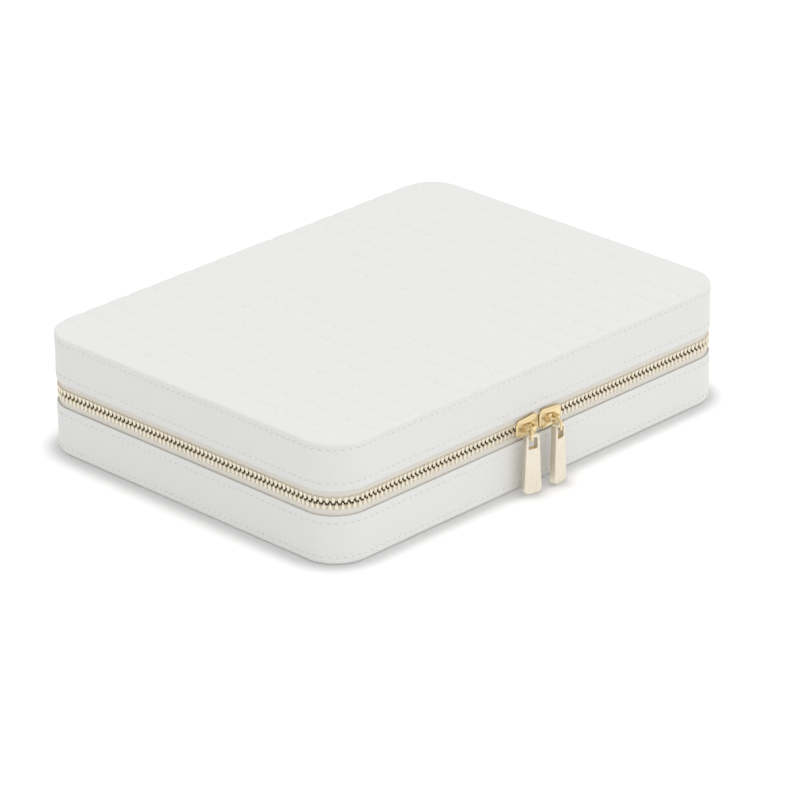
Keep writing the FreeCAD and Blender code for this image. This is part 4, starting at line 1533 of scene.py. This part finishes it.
@dataclass
class Slider:
    """One slider with its loop, link and pull."""

    hand: Hand
    link_yaw: float
    pull_yaw: float
    level: float
    plate: float = 1.1 * MM
    crown: float = 0.5 * MM
    plate_edge: float = 0.3 * MM
    back_edge: float = 0.4 * MM
    dome_turn: float = 1.53
    dome_steps: int = 22
    dish: float = 0.85 * MM
    dish_share: float = 0.58
    mouth_half: float = 5.0 * MM
    tail_half: float = 3.8 * MM
    mouth_round: float = 3.0 * MM
    tail_round: float = 2.4 * MM
    flange: float = 0.75 * MM
    back_flange: float = 0.55 * MM
    flange_start: float = 0.16
    flange_end: float = 0.86
    flange_inset: float = 0.12 * MM
    flange_round: float = 0.25 * MM
    flange_edge: float = 0.15 * MM
    slim: float = 0.75 * MM
    overlap: float = 0.2 * MM
    wedge_half: float = 0.45 * MM
    wedge_length: float = 4 * MM
    wedge_edge: float = 0.02 * MM
    loop_length: float = 6.2 * MM
    loop_width: float = 2.0 * MM
    loop_thick: float = 1.15 * MM
    loop_room: float = 2.4 * MM
    loop_bend: float = 1.3 * MM
    loop_edge: float = 0.38 * MM
    loop_root: float = 0.3 * MM
    wire: float = 1.1 * MM
    wire_bend: float = 1.1 * MM
    wire_sides: int = 12
    link_reach: float = 8.8 * MM
    link_drop: float = 2.65 * MM
    link_rise: float = 1.65 * MM
    pull_seat: float = 5.5 * MM
    pull_top: float = 6.5 * MM
    pull_end: float = 8.9 * MM
    pull_thick: float = 3.2 * MM
    pull_head: float = 2.2 * MM
    pull_edge: float = 0.42 * MM
    head_round: float = 1.1 * MM
    end_round: float = 2.0 * MM
    window_wide: float = 4.3 * MM
    window_high: float = 5.1 * MM
    window_top: float = 0.6 * MM
    window_round: float = 0.7 * MM

    def __post_init__(self) -> None:
        """Reads the slider's place from its solid."""
        self.word = self.hand.word
        low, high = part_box(f"{self.word}_slider_body")
        side = self.hand.value
        self.mouth = low.x if side > 0 else high.x
        self.tail = high.x if side > 0 else low.x
        self.front = low.y
        self.back = high.y
        self.middle = (self.mouth + self.tail) / 2
        self.pivot = Vector((self.middle, self.front - self.loop_room / 2, self.level))

    def build(self) -> None:
        """Makes the slider's four pieces."""
        self.build_shell()
        self.build_loop()
        self.build_link()
        self.build_pull()

    def outline(self) -> Profile:
        """Draws the plates' outline.

        Returns:
            The outline in X and Z.
        """
        corners = [(self.mouth, self.level - self.mouth_half), (self.mouth, self.level + self.mouth_half),
                   (self.tail, self.level + self.tail_half), (self.tail, self.level - self.tail_half)]
        return round_off(corners, (self.mouth_round, self.mouth_round, self.tail_round, self.tail_round), 8)

    def strip(self, up: int) -> Profile:
        """Returns the outline of a flange.

        Args:
            up: 1 for the upper flange, -1 for the lower.

        Returns:
            The outline.
        """
        corners = []
        start, end = self.flange_start, self.flange_end
        for share, inset in ((start, 0), (end, 0), (end, 1), (start, 1)):
            half = self.mouth_half + (self.tail_half - self.mouth_half) * share - self.flange_inset
            level = self.level + up * (half - self.slim * inset)
            corners.append((self.mouth + (self.tail - self.mouth) * share, level))
        return round_off(corners, (self.flange_round,) * 4, 3)

    def domed(self, ring: Profile, near: float, far: float) -> Piece:
        """Makes the front plate: crowned from its rim, and dished under the loop.

        Args:
            ring: The plate's outline in X and Z.
            near: Y of its front at the rim.
            far: Y of its back.

        Returns:
            The new object.
        """
        foot = far - self.plate_edge
        height = foot - near + self.crown
        middle = Vector((self.middle, 0, self.level))
        flat = [Vector((x, 0, z)) - middle for x, z in ring]
        rows = [[middle + spoke + Vector((0, far, 0)) for spoke in flat]]
        for turn in np.linspace(0, self.dome_turn, self.dome_steps).tolist():
            share = math.cos(turn)
            within = max(0, 1 - share / self.dish_share)
            sunk = self.dish * within * within * (3 - 2 * within)
            level = Vector((0, foot - height * math.sin(turn) + sunk, 0))
            rows.append([middle + spoke * share + level for spoke in flat])
        return skin("front", rows, looped=False, sharp=60)

    def build_shell(self) -> None:
        """Makes both plates, their flanges and the wedge between them."""
        full = self.outline()
        inner_front = self.front + self.plate
        inner_back = self.back - self.plate
        pieces = [self.domed(full, self.front, inner_front),
                  slab("back", [full], inner_back, self.back, self.back_edge)]
        for up in (-1, 1):
            strip = self.strip(up)
            for near, far in ((inner_front - self.overlap, inner_front + self.flange),
                              (inner_back - self.back_flange, inner_back + self.overlap)):
                pieces.append(slab("flange", [strip], near, far, self.flange_edge))
        tip = self.mouth + self.hand.value * self.wedge_length
        wedge = [(self.mouth, self.level - self.wedge_half), (self.mouth, self.level + self.wedge_half),
                 (tip, self.level)]
        near, far = inner_front - self.overlap, inner_back + self.overlap
        pieces.append(slab("wedge", [wedge], near, far, self.wedge_edge))
        shell = joined(f"{self.word}_slider_shell", pieces)
        dress(shell, Finish.GOLD, "slider_gold", f"{self.word}_slider", f"{self.word}_slider_body")

    def build_loop(self) -> None:
        """Makes the arched loop on the slider's front."""
        half = (self.loop_length - self.loop_thick) / 2
        bend = self.loop_bend
        top = self.loop_room + self.loop_thick / 2 - bend
        path = [(-half, -self.loop_root), *arc((-half + bend, top), bend, 180, 90),
                *arc((half - bend, top), bend, 90, 0), (half, -self.loop_root)]
        thick, wide = self.loop_thick / 2, self.loop_width / 2
        section = rounded(-thick, thick, -wide, wide, self.loop_edge, 4)
        rows = []
        for k, (across, out) in enumerate(path):
            before = Vector(path[max(0, k - 1)])
            after = Vector(path[min(len(path) - 1, k + 1)])
            ahead = (after - before).normalized()
            spot = Vector((self.middle + across, self.front - out, self.level))
            aside = Vector((ahead.y, ahead.x, 0))
            rows.append([spot + aside * a + UP * b for a, b in section])
        loop = skin(f"{self.word}_slider_loop", rows, looped=False)
        dress(loop, Finish.GOLD, "slider_gold", f"{self.word}_slider", f"{self.word}_slider_crown")

    def build_link(self) -> None:
        """Makes the wire link that hangs in the loop."""
        path = rounded(-self.link_reach, 0, -self.link_drop, self.link_rise, self.wire_bend, 7)
        turn = Matrix.Translation(self.pivot) @ Matrix.Rotation(math.radians(self.link_yaw), 4, "Z")
        angles = [2 * math.pi * k / self.wire_sides for k in range(self.wire_sides)]
        rows = []
        for k, (along, up) in enumerate(path):
            ahead = (Vector(path[(k + 1) % len(path)]) - Vector(path[k - 1])).normalized()
            aside = Vector((0, ahead.y, -ahead.x))
            middle = Vector((0, along, up))
            ways = [aside * math.cos(a) + Vector((1, 0, 0)) * math.sin(a) for a in angles]
            rows.append([turn @ (middle + way * self.wire / 2) for way in ways])
        link = skin(f"{self.word}_link_wire", rows, looped=True, sharp=180)
        dress(link, Finish.GOLD, "slider_gold", f"{self.word}_link", f"{self.word}_pull_link")

    def build_pull(self) -> None:
        """Makes the long tapered pull with its window."""
        node = f"{self.word}_pull_tab"
        yaw = math.radians(self.link_yaw)
        seat = self.pivot + Vector((math.sin(yaw), -math.cos(yaw), 0)) * self.pull_seat - UP * self.link_drop
        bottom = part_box(node)[0].z - seat.z
        top, end, wide = self.pull_top / 2, self.pull_end / 2, self.window_wide / 2
        corners = [(-top, self.pull_head), (top, self.pull_head), (end, bottom), (-end, bottom)]
        edge = round_off(corners, (self.head_round, self.head_round, self.end_round, self.end_round), 7)
        low = self.window_top - self.window_high
        window = rounded(-wide, wide, low, self.window_top, self.window_round)
        place = Matrix.Translation(seat) @ Matrix.Rotation(math.radians(self.pull_yaw), 4, "Z")
        half = self.pull_thick / 2
        pull = slab(f"{self.word}_pull_plate", [edge, window], -half, half, self.pull_edge, place)
        dress(pull, Finish.SATIN, "pull_gold", f"{self.word}_pull", node)


@dataclass
class Spine:
    """The leather spine at the back, bowed between base and lid."""

    thick: float = 0.6 * MM
    fullness: float = 0.75
    steps: int = 24
    stations: int = 40

    def build(self, shells: dict[Body, Shell]) -> None:
        """Makes the spine as a bowed strip between the two bands.

        Args:
            shells: Both leather shells.
        """
        low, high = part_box("hinge_spine")
        inner = low.y
        bow_low = shells[Body.BASE].zip_edge
        bow_high = shells[Body.LID].zip_edge
        bow = high.y - inner - self.thick
        line = [(inner, low.z), (inner, bow_low)]
        for k in range(1, self.steps):
            share = k / self.steps
            out = bow * math.sin(math.pi * share) ** self.fullness
            line.append((inner + out, bow_low + (bow_high - bow_low) * share))
        line += [(inner, bow_high), (inner, high.z)]
        section = line + [(y + self.thick, z) for y, z in reversed(line)]
        stations = np.linspace(low.x, high.x, self.stations)
        rows = [[Vector((x, y, z)) for y, z in section] for x in stations]
        spine = skin("spine_leather", rows, looped=False)
        spine.data.materials.append(Finish.SPINE.material)
        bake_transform(spine)
        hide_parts("hinge_spine")
        LOG.info("%s bends between base and lid", spine.name)


@dataclass
class Linings:
    """Wall, floor and ceiling linings, with the shoulder that covers the wall cores."""

    outline: Outline
    wall: float = 1.2 * MM
    shoulder: float = 0.18 * MM
    lip: float = 1.95 * MM
    tucked: float = 0.02 * MM
    rim: float = 0.58 * MM
    flat_rim: float = 0.3 * MM
    step: float = 4 * MM

    def build(self, shells: dict[Body, Shell]) -> None:
        """Makes all four linings.

        Args:
            shells: Both leather shells.
        """
        for body in Body:
            self.build_wall(body, shells[body])
        for name, node, up, body in (("base_floor_cloth", "base_floor_lining", True, Body.BASE),
                                     ("lid_ceiling_cloth", "lid_top_lining", False, Body.LID)):
            low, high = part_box(node)
            panel = Panel(name, self.outline.within(node), low.z, high.z, self.flat_rim, face_up=up)
            dress(panel.build(), Finish.LINING, "lining_suede", body.value, node)

    def build_wall(self, body: Body, shell: Shell) -> None:
        """Makes one wall lining with a rounded rim and a shoulder out to the zip tape.

        Args:
            body: The body that it rides on.
            shell: That body's leather shell.
        """
        node = f"{body.value}_wall_lining"
        low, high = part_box(node)
        outer = high.x - self.outline.half_width
        inner = outer - self.wall
        away = shell.away
        rim, foot = (low.z, high.z) if body is Body.LID else (high.z, low.z)
        middle = (outer + inner) / 2
        angles = [math.radians(a) for a in range(0, 181, 20)]
        turned = [(middle - self.rim * math.cos(a), rim + away * self.rim * (1 - math.sin(a)))
                  for a in angles]
        ledge = shell.zip_edge - away * self.shoulder
        under = shell.zip_edge - away * self.tucked
        section = [(inner, foot), *turned, (outer, ledge), (-self.lip, ledge), (-self.lip, under),
                   (outer, under), (outer, foot)]
        rows = self.outline.sweep(section, Vector((0, 0, 0)), self.step)
        wall = skin(f"{body.value}_wall_cloth", rows, looped=True)
        dress(wall, Finish.LINING, "lining_suede", body.value, node)


@dataclass
class Tray:
    """The base's dividers and ring rolls."""

    wrap: float = 1.1 * MM
    voxel: float = 2.6 * MM
    pressure: float = 4.0
    quality: int = 6
    frames: int = 20
    swell: float = 1.6 * MM
    slimming: float = 0.8
    most_swell: float = 1.6
    start_edge: float = 5 * MM
    held: float = 1.5 * MM
    room: float = 0.12 * MM
    rolls: int = 6

    def build(self) -> None:
        """Makes dividers and rolls."""
        for name in ("left", "right", "ring_bank", "left_cross", "right_cross"):
            node = f"divider_{name}"
            divider = soft_block(f"{name}_divider_wrap", *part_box(node), self.wrap)
            dress(divider, Finish.LINING, "lining_suede", Body.BASE.value, node)
        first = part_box("ring_roll_1")
        points, faces = self.roll(*first)
        for number in range(1, self.rolls + 1):
            node = f"ring_roll_{number}"
            name = f"ring_cushion_{number}"
            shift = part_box(node)[0] - first[0]
            mesh = new_mesh(name, [point + shift for point in points], faces)
            soften(mesh, 180)
            cushion = new_object(name, mesh)
            finer = cushion.modifiers.new("finer", "SUBSURF")
            finer.levels = finer.render_levels = 1
            dress(cushion, Finish.VELVET, "ring_velvet", Body.BASE.value, node)

    def roll(self, low: Vector, high: Vector) -> tuple[list[Vector], list]:
        """Swells one ring roll from a slimmer block, as stuffing does.

        Args:
            low: The roll's lowest corner.
            high: Its highest corner.

        Returns:
            The swollen roll's points and faces.
        """
        slim = Vector((self.swell, self.swell, 0)) * self.slimming
        top = high - slim - UP * self.swell
        start = soft_block("roll_start", low + slim, top, self.start_edge, crown_only=True)
        coarse = start.modifiers.new("coarse", "REMESH")
        coarse.mode = "VOXEL"
        coarse.voxel_size = self.voxel
        bpy.context.view_layer.update()
        mesh = evaluated(start)
        bpy.data.meshes.remove(start.data)
        body = new_object("roll_cloth", mesh)
        rest = [vertex.co.copy() for vertex in mesh.vertices]
        moved = self.simulate(body, low.z + self.held)
        most = self.swell * self.most_swell
        points = []
        for before, after in zip(rest, moved):
            step = after - before
            if step.length > most:
                step = step.normalized() * most
            bounds = zip(before + step, low, high)
            points.append(Vector([min(max(p, a + self.room), b - self.room) for p, a, b in bounds]))
        faces = [tuple(face.vertices) for face in mesh.polygons]
        bpy.data.meshes.remove(mesh)
        return points, faces

    def simulate(self, body: Piece, foot: float) -> list[Vector]:
        """Blows a cloth body up, held at its foot.

        Args:
            body: The cloth body.
            foot: Points below this height stay where they are.

        Returns:
            Where each of its points ends up.
        """
        held = body.vertex_groups.new(name="held")
        held.add([v.index for v in body.data.vertices if v.co.z < foot], 1.0, "REPLACE")
        cloth = body.modifiers.new("cloth", "CLOTH")
        cloth.settings.vertex_group_mass = held.name
        cloth.settings.use_pressure = True
        cloth.settings.uniform_pressure_force = self.pressure
        cloth.settings.effector_weights.gravity = 0
        cloth.settings.quality = self.quality
        scene = bpy.context.scene
        for number in range(1, self.frames + 1):
            scene.frame_set(number)
        mesh = evaluated(body)
        moved = [vertex.co.copy() for vertex in mesh.vertices]
        bpy.data.meshes.remove(mesh)
        scene.frame_set(1)
        return moved


@dataclass
class LidFittings:
    """Mirror, necklace bar and gathered pocket under the lid's ceiling."""

    frame_corner: float = 8 * MM
    frame_edge: float = 0.7 * MM
    frame_step: float = 5 * MM
    lip: float = 2.5 * MM
    lip_edge: float = 0.35 * MM
    glass_play: float = 0.15 * MM
    glass_gap: float = 0.02 * MM
    frame_row: float = 3.2 * MM
    frame_thread: float = 0.05 * MM
    row_step: float = 4 * MM
    bar_edge: float = 0.7 * MM
    bar_margin: float = 2 * MM
    knobs: int = 6
    stem: float = 2.4 * MM
    head: float = 5.6 * MM
    head_high: float = 1.5 * MM
    knob_sides: int = 20
    folds: int = 19
    fold_columns: int = 8
    fold: float = 0.09
    fold_fade: float = 0.65
    fold_drift: float = 1.2
    ripple: float = 0.03
    pocket_rows: int = 40
    flank: float = 0.1
    foot: float = 0.14
    crown: float = 0.86
    crown_fall: float = 0.1
    crown_at: float = 0.45
    cloth: float = 0.8 * MM
    hem_half: float = 0.95 * MM
    hem_flat: float = 0.8
    hem_edge: float = 0.5 * MM
    hem_out: float = 0.3 * MM

    def build(self, sewing: Sewing) -> None:
        """Makes all the fittings.

        Args:
            sewing: What sews them.
        """
        paint(Finish.MIRROR, "mirror_glass")
        self.build_frame(sewing)
        self.build_bar(sewing)
        self.build_pocket()

    def build_frame(self, sewing: Sewing) -> None:
        """Makes the leather frame round the mirror, and sews it.

        Args:
            sewing: What sews it.
        """
        low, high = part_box("mirror_frame")
        glass_low, glass_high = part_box("mirror_glass")
        outer = Outline((high.x - low.x) / 2, (high.y - low.y) / 2, self.frame_corner)
        middle = (low + high) / 2
        glass_half = (glass_high.x - glass_low.x) / 2 - outer.half_width
        inner = glass_half - self.lip
        play = glass_half + self.glass_play
        edge, lip_edge = self.frame_edge, self.lip_edge
        seat = glass_low.z - self.glass_gap
        section = [(0, high.z), *arc((-edge, low.z + edge), edge, 0, -90),
                   *arc((inner + lip_edge, low.z + lip_edge), lip_edge, -90, -180),
                   (inner, seat), (play, seat), (play, high.z)]
        rows = outer.sweep(section, Vector((middle.x, middle.y, 0)), self.frame_step, corner_steps=10)
        border = skin("mirror_border", rows, looped=True)
        dress(border, Finish.LEATHER, "trim_leather", Body.LID.value, "mirror_frame")
        track = outer.inset(self.frame_row)
        shift = Vector((middle.x, middle.y, low.z + self.frame_thread))
        line = [track.at(travel)[0] + shift for travel in track.round_trip(self.row_step)]
        sewing.sew("mirror_sewing", [line], True, Body.LID, "trim_leather")

    def build_bar(self, sewing: Sewing) -> None:
        """Makes the necklace bar, its sewing and its knobs.

        Args:
            sewing: What sews the bar.
        """
        low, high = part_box("necklace_bar")
        bar = soft_block("necklace_pad", low, high, self.bar_edge)
        dress(bar, Finish.LEATHER, "trim_leather", Body.LID.value, "necklace_bar")
        left, right = low.x + self.bar_margin, high.x - self.bar_margin
        sides = (low.y + self.bar_margin, high.y - self.bar_margin)
        lines = [[Vector((left, y, low.z)), Vector((right, y, low.z))] for y in sides]
        sewing.sew("necklace_sewing", lines, False, Body.LID, "trim_leather")
        tip, foot = (corner.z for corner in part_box("necklace_knobs"))
        spacing = (high.x - low.x) / self.knobs
        pegs = []
        for number in range(self.knobs):
            spot = Vector((low.x + (number + 0.5) * spacing, (low.y + high.y) / 2, 0))
            pegs.append(self.peg(spot, foot, tip))
        dress(joined("necklace_pegs", pegs), Finish.GOLD, "knob_gold", Body.LID.value, "necklace_knobs")

    def peg(self, spot: Vector, foot: float, tip: float) -> Piece:
        """Turns one knob: a waisted stem and a domed head.

        Args:
            spot: Where it stands.
            foot: Height of its foot.
            tip: Height of its tip, which is lower.

        Returns:
            The new object.
        """
        stem, head, crown = self.stem / 2, self.head / 2, self.head_high
        side = [(stem * 1.25, foot), (stem, foot - 0.6 * MM), (stem * 0.92, foot - 2.5 * MM),
                (stem, tip + crown + 0.5 * MM), (head * 0.8, tip + crown), (head, tip + crown * 0.72),
                (head, tip + crown * 0.45), (head * 0.85, tip + crown * 0.16), (head * 0.5, tip + 0.04 * MM),
                (0.05 * MM, tip)]
        angles = [2 * math.pi * k / self.knob_sides for k in range(self.knob_sides)]
        rows = []
        for radius, level in side:
            rows.append([spot + Vector((radius * math.cos(a), radius * math.sin(a), level)) for a in angles])
        return skin("peg", rows, looped=False, sharp=50)

    def build_pocket(self) -> None:
        """Makes the gathered pocket and the elastic in its hem."""
        low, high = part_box("pocket_panel")
        columns = self.fold_columns * self.folds + 1
        across = np.linspace(0, 1, columns)
        down = np.linspace(0, 1, self.pocket_rows)
        bulge = high.z - low.z - self.cloth
        points = []
        for u in across:
            for v in down:
                level = high.z - self.sag(u, v) * bulge - self.cloth
                points.append((low.x + u * (high.x - low.x), low.y + v * (high.y - low.y), level))
        mesh = new_mesh("pocket_gather", points, grid_faces(columns, self.pocket_rows))
        mesh.shade_smooth()
        pocket = new_object("pocket_gather", mesh)
        grid = np.array(points).reshape(columns, self.pocket_rows, 3)
        body = pocket.modifiers.new("cloth", "SOLIDIFY")
        body.thickness = self.cloth
        body.offset = 0
        dress(pocket, Finish.POCKET, "pocket_cloth", Body.LID.value, "pocket_panel")
        hem = self.build_hem(grid[:, 0])

    def sag(self, across: float, down: float) -> float:
        """Works out the pocket's stand-off at a point, folds included.

        Args:
            across: Share of the way across the pocket.
            down: Share of the way from its hem to its foot.

        Returns:
            The stand-off as a share of the pocket's bulge.
        """
        flank = min(1, min(across, 1 - across) * 2 / self.flank)
        close = min(1, (1 - down) / self.foot)
        flank, close = (share * share * (3 - 2 * share) for share in (flank, close))
        turn = 2 * math.pi * self.folds * across + self.fold_drift * math.sin(5 * across)
        fold = self.fold * (1 - self.fold_fade * down) * math.cos(turn)
        fold += self.ripple * math.sin(11 * across + 9 * down)
        crown = self.crown - self.crown_fall * abs(down - self.crown_at)
        return min(1.0, max(0.0, flank * close * (crown + fold)))

    @staticmethod
    def flat_size(grid: np.ndarray) -> tuple[float, float]:
        """Measures the pocket's cut over its folds.

        Args:
            grid: The pocket's points, by column and row.

        Returns:
            The cut's width and length.
        """
        wide = np.linalg.norm(np.diff(grid, axis=0), axis=2).sum(axis=0).mean()
        long = np.linalg.norm(np.diff(grid, axis=1), axis=2).sum(axis=1).mean()
        return float(wide), float(long)

    def build_hem(self, edge: np.ndarray) -> Piece:
        """Makes the ribbed elastic along the pocket's open edge.

        Args:
            edge: The points of that edge.

        Returns:
            The hem.
        """
        half = self.hem_half
        thick = half * self.hem_flat
        ring = rounded(-half, half, -thick, thick, self.hem_edge, 3)
        rows = []
        for spot in edge[self.fold_columns:-self.fold_columns]:
            middle = Vector(spot) + Vector((0, -self.hem_out, 0))
            rows.append([middle + Vector((0, a, b)) for a, b in ring])
        hem = skin("pocket_band", rows, looped=False)
        return dress(hem, Finish.ELASTIC, "pocket_elastic", Body.LID.value, "pocket_hem")


@dataclass
class Studio:
    """White floor, soft light and the photograph's camera."""

    target: Sequence[float] = (4.8 * MM, -3.6 * MM, 9.4 * MM)
    distance: float = 2083.8 * MM
    azimuth: float = -45.11
    elevation: float = 24.6
    roll: float = -0.74
    lens: float = 207.5
    far_end: float = 20.0
    ambient: float = 0.90
    slope: float = 0.36
    glossy_slope: float = 0.62
    light_from: Sequence[float] = (0.28, -0.36, 0.89)
    key_power: float = 5.0
    key_size: float = 2.2
    key_place: Sequence[float] = (0.3, -0.4, 2.4)
    floor_size: float = 12.0
    floor_white: float = 0.93
    floor_lift: float = 0.28
    mirrored_lift: float = 0.34
    # Reach and least share of the painted contact shadow on the floor.
    crease: float = 11 * MM
    crease_white: float = 0.62

    def build(self) -> None:
        """Sets up view, floor, light and camera."""
        bpy.context.scene.view_settings.view_transform = "Standard"
        self.build_floor()
        self.build_world()
        self.build_key()
        self.build_camera()

    def build_floor(self) -> None:
        """Lays the white floor, with a painted contact shadow: to the camera it is darker in the crease along
        the case, by ambient occlusion.
        """
        half = self.floor_size / 2
        corners = [(-half, -half, 0), (half, -half, 0), (half, half, 0), (-half, half, 0)]
        floor = new_object("floor", new_mesh("floor", corners, [(0, 1, 2, 3)]))
        look = Shader("floor_white", roughness=1.0, specular_ior_level=0.0)
        rays = look.add("LightPath")
        seen = rays.outputs["Is Camera Ray"]
        # Painted shadow: for camera rays only, the floor's colour is darkened by ambient occlusion near the
        # case, down to a set least share.
        crease = look.add("AmbientOcclusion", {"Distance": self.crease})
        shade = look.combine(crease.outputs["AO"], look.switch(seen, 1, self.crease_white), "MAXIMUM")
        white = look.spread(shade, 0, self.floor_white, 0, 1)
        mirrored = look.switch(rays.outputs["Is Glossy Ray"], 0, self.mirrored_lift)
        lift = look.combine(look.switch(seen, 0, self.floor_lift), mirrored, "ADD")
        look.feed(look.surface, {"Base Color": white, "Emission Color": white, "Emission Strength": lift})
        floor.data.materials.append(look.material)

    def build_world(self) -> None:
        """Lights the scene from all round, brighter from the front right and above, on a white background."""
        world = bpy.data.worlds.new("studio")
        sky = Nodes(world)
        space = sky.add("TexCoord").outputs["Generated"]
        rays = sky.add("LightPath").outputs
        ways = {0: space, 1: self.light_from}
        facing = sky.add("VectorMath", ways, operation="DOT_PRODUCT").outputs["Value"]
        slopes = {"Value": rays["Is Glossy Ray"], "To Min": self.slope, "To Max": self.glossy_slope}
        slope = sky.add("MapRange", slopes).outputs["Result"]
        parts = {0: facing, 1: slope, 2: self.ambient}
        level = sky.add("Math", parts, operation="MULTIPLY_ADD").outputs["Value"]
        shown = sky.add("Mix", {0: rays["Is Camera Ray"], 2: level, 3: 1.0}).outputs[0]
        light = sky.add("Background", {"Strength": shown}).outputs["Background"]
        sky.add("OutputWorld", {"Surface": light})
        bpy.context.scene.world = world

    def build_key(self) -> None:
        """Hangs one large soft lamp above the front right."""
        lamp = bpy.data.lights.new("key", "AREA")
        lamp.shape = "DISK"
        lamp.size = self.key_size
        lamp.energy = self.key_power
        key = bpy.data.objects.new("key", lamp)
        key.location = self.key_place
        key.rotation_mode = "QUATERNION"
        key.rotation_quaternion = key.location.to_track_quat("Z", "Y")
        bpy.context.scene.collection.objects.link(key)

    def build_camera(self) -> None:
        """Sets the camera where the photograph was taken from."""
        turn, tilt, lean = (math.radians(angle) for angle in (self.azimuth, self.elevation, self.roll))
        back = Vector((math.sin(turn) * math.cos(tilt), -math.cos(turn) * math.cos(tilt), math.sin(tilt)))
        right = Vector((math.cos(turn), math.sin(turn), 0))
        above = back.cross(right)
        across = right * math.cos(lean) + above * math.sin(lean)
        upward = above * math.cos(lean) - right * math.sin(lean)
        camera = bpy.data.objects.new("camera", bpy.data.cameras.new("camera"))
        camera.data.lens = self.lens
        camera.data.clip_end = self.far_end
        axes = Matrix((across, upward, back)).transposed().to_4x4()
        camera.matrix_world = Matrix.Translation(Vector(self.target) + back * self.distance) @ axes
        bpy.context.scene.collection.objects.link(camera)
        bpy.context.scene.camera = camera


def main() -> None:
    """Builds the case from its shells inwards, then the studio."""
    logging.basicConfig(level=logging.INFO, format="%(message)s")
    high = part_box("lid_side_leather")[1]
    outline = Outline(high.x, high.y, CASE_CORNER)
    sewing = Sewing()
    shells = {
        Body.BASE: Shell(Body.BASE, outline, rim_row=2.3 * MM, zip_row=3.5 * MM),
        Body.LID: Shell(Body.LID, outline, rim_row=1.3 * MM, zip_row=3.7 * MM),
    }
    for shell in shells.values():
        shell.build(sewing)
    Underside(outline).build(shells[Body.BASE])
    QuiltedTop(outline).build(sewing)
    chain = Zip(outline)
    chain.build()
    Slider(Hand.LEFT, link_yaw=-42, pull_yaw=-16, level=chain.level).build()
    Slider(Hand.RIGHT, link_yaw=-24, pull_yaw=8, level=chain.level).build()
    Spine().build(shells)
    Linings(outline).build(shells)
    Tray().build()
    LidFittings().build(sewing)
    paint(Finish.BOARD, "base_floor_board", "base_wall_core", "lid_top_board", "lid_wall_core")
    Studio().build()


if __name__ == "__main__":
    main()
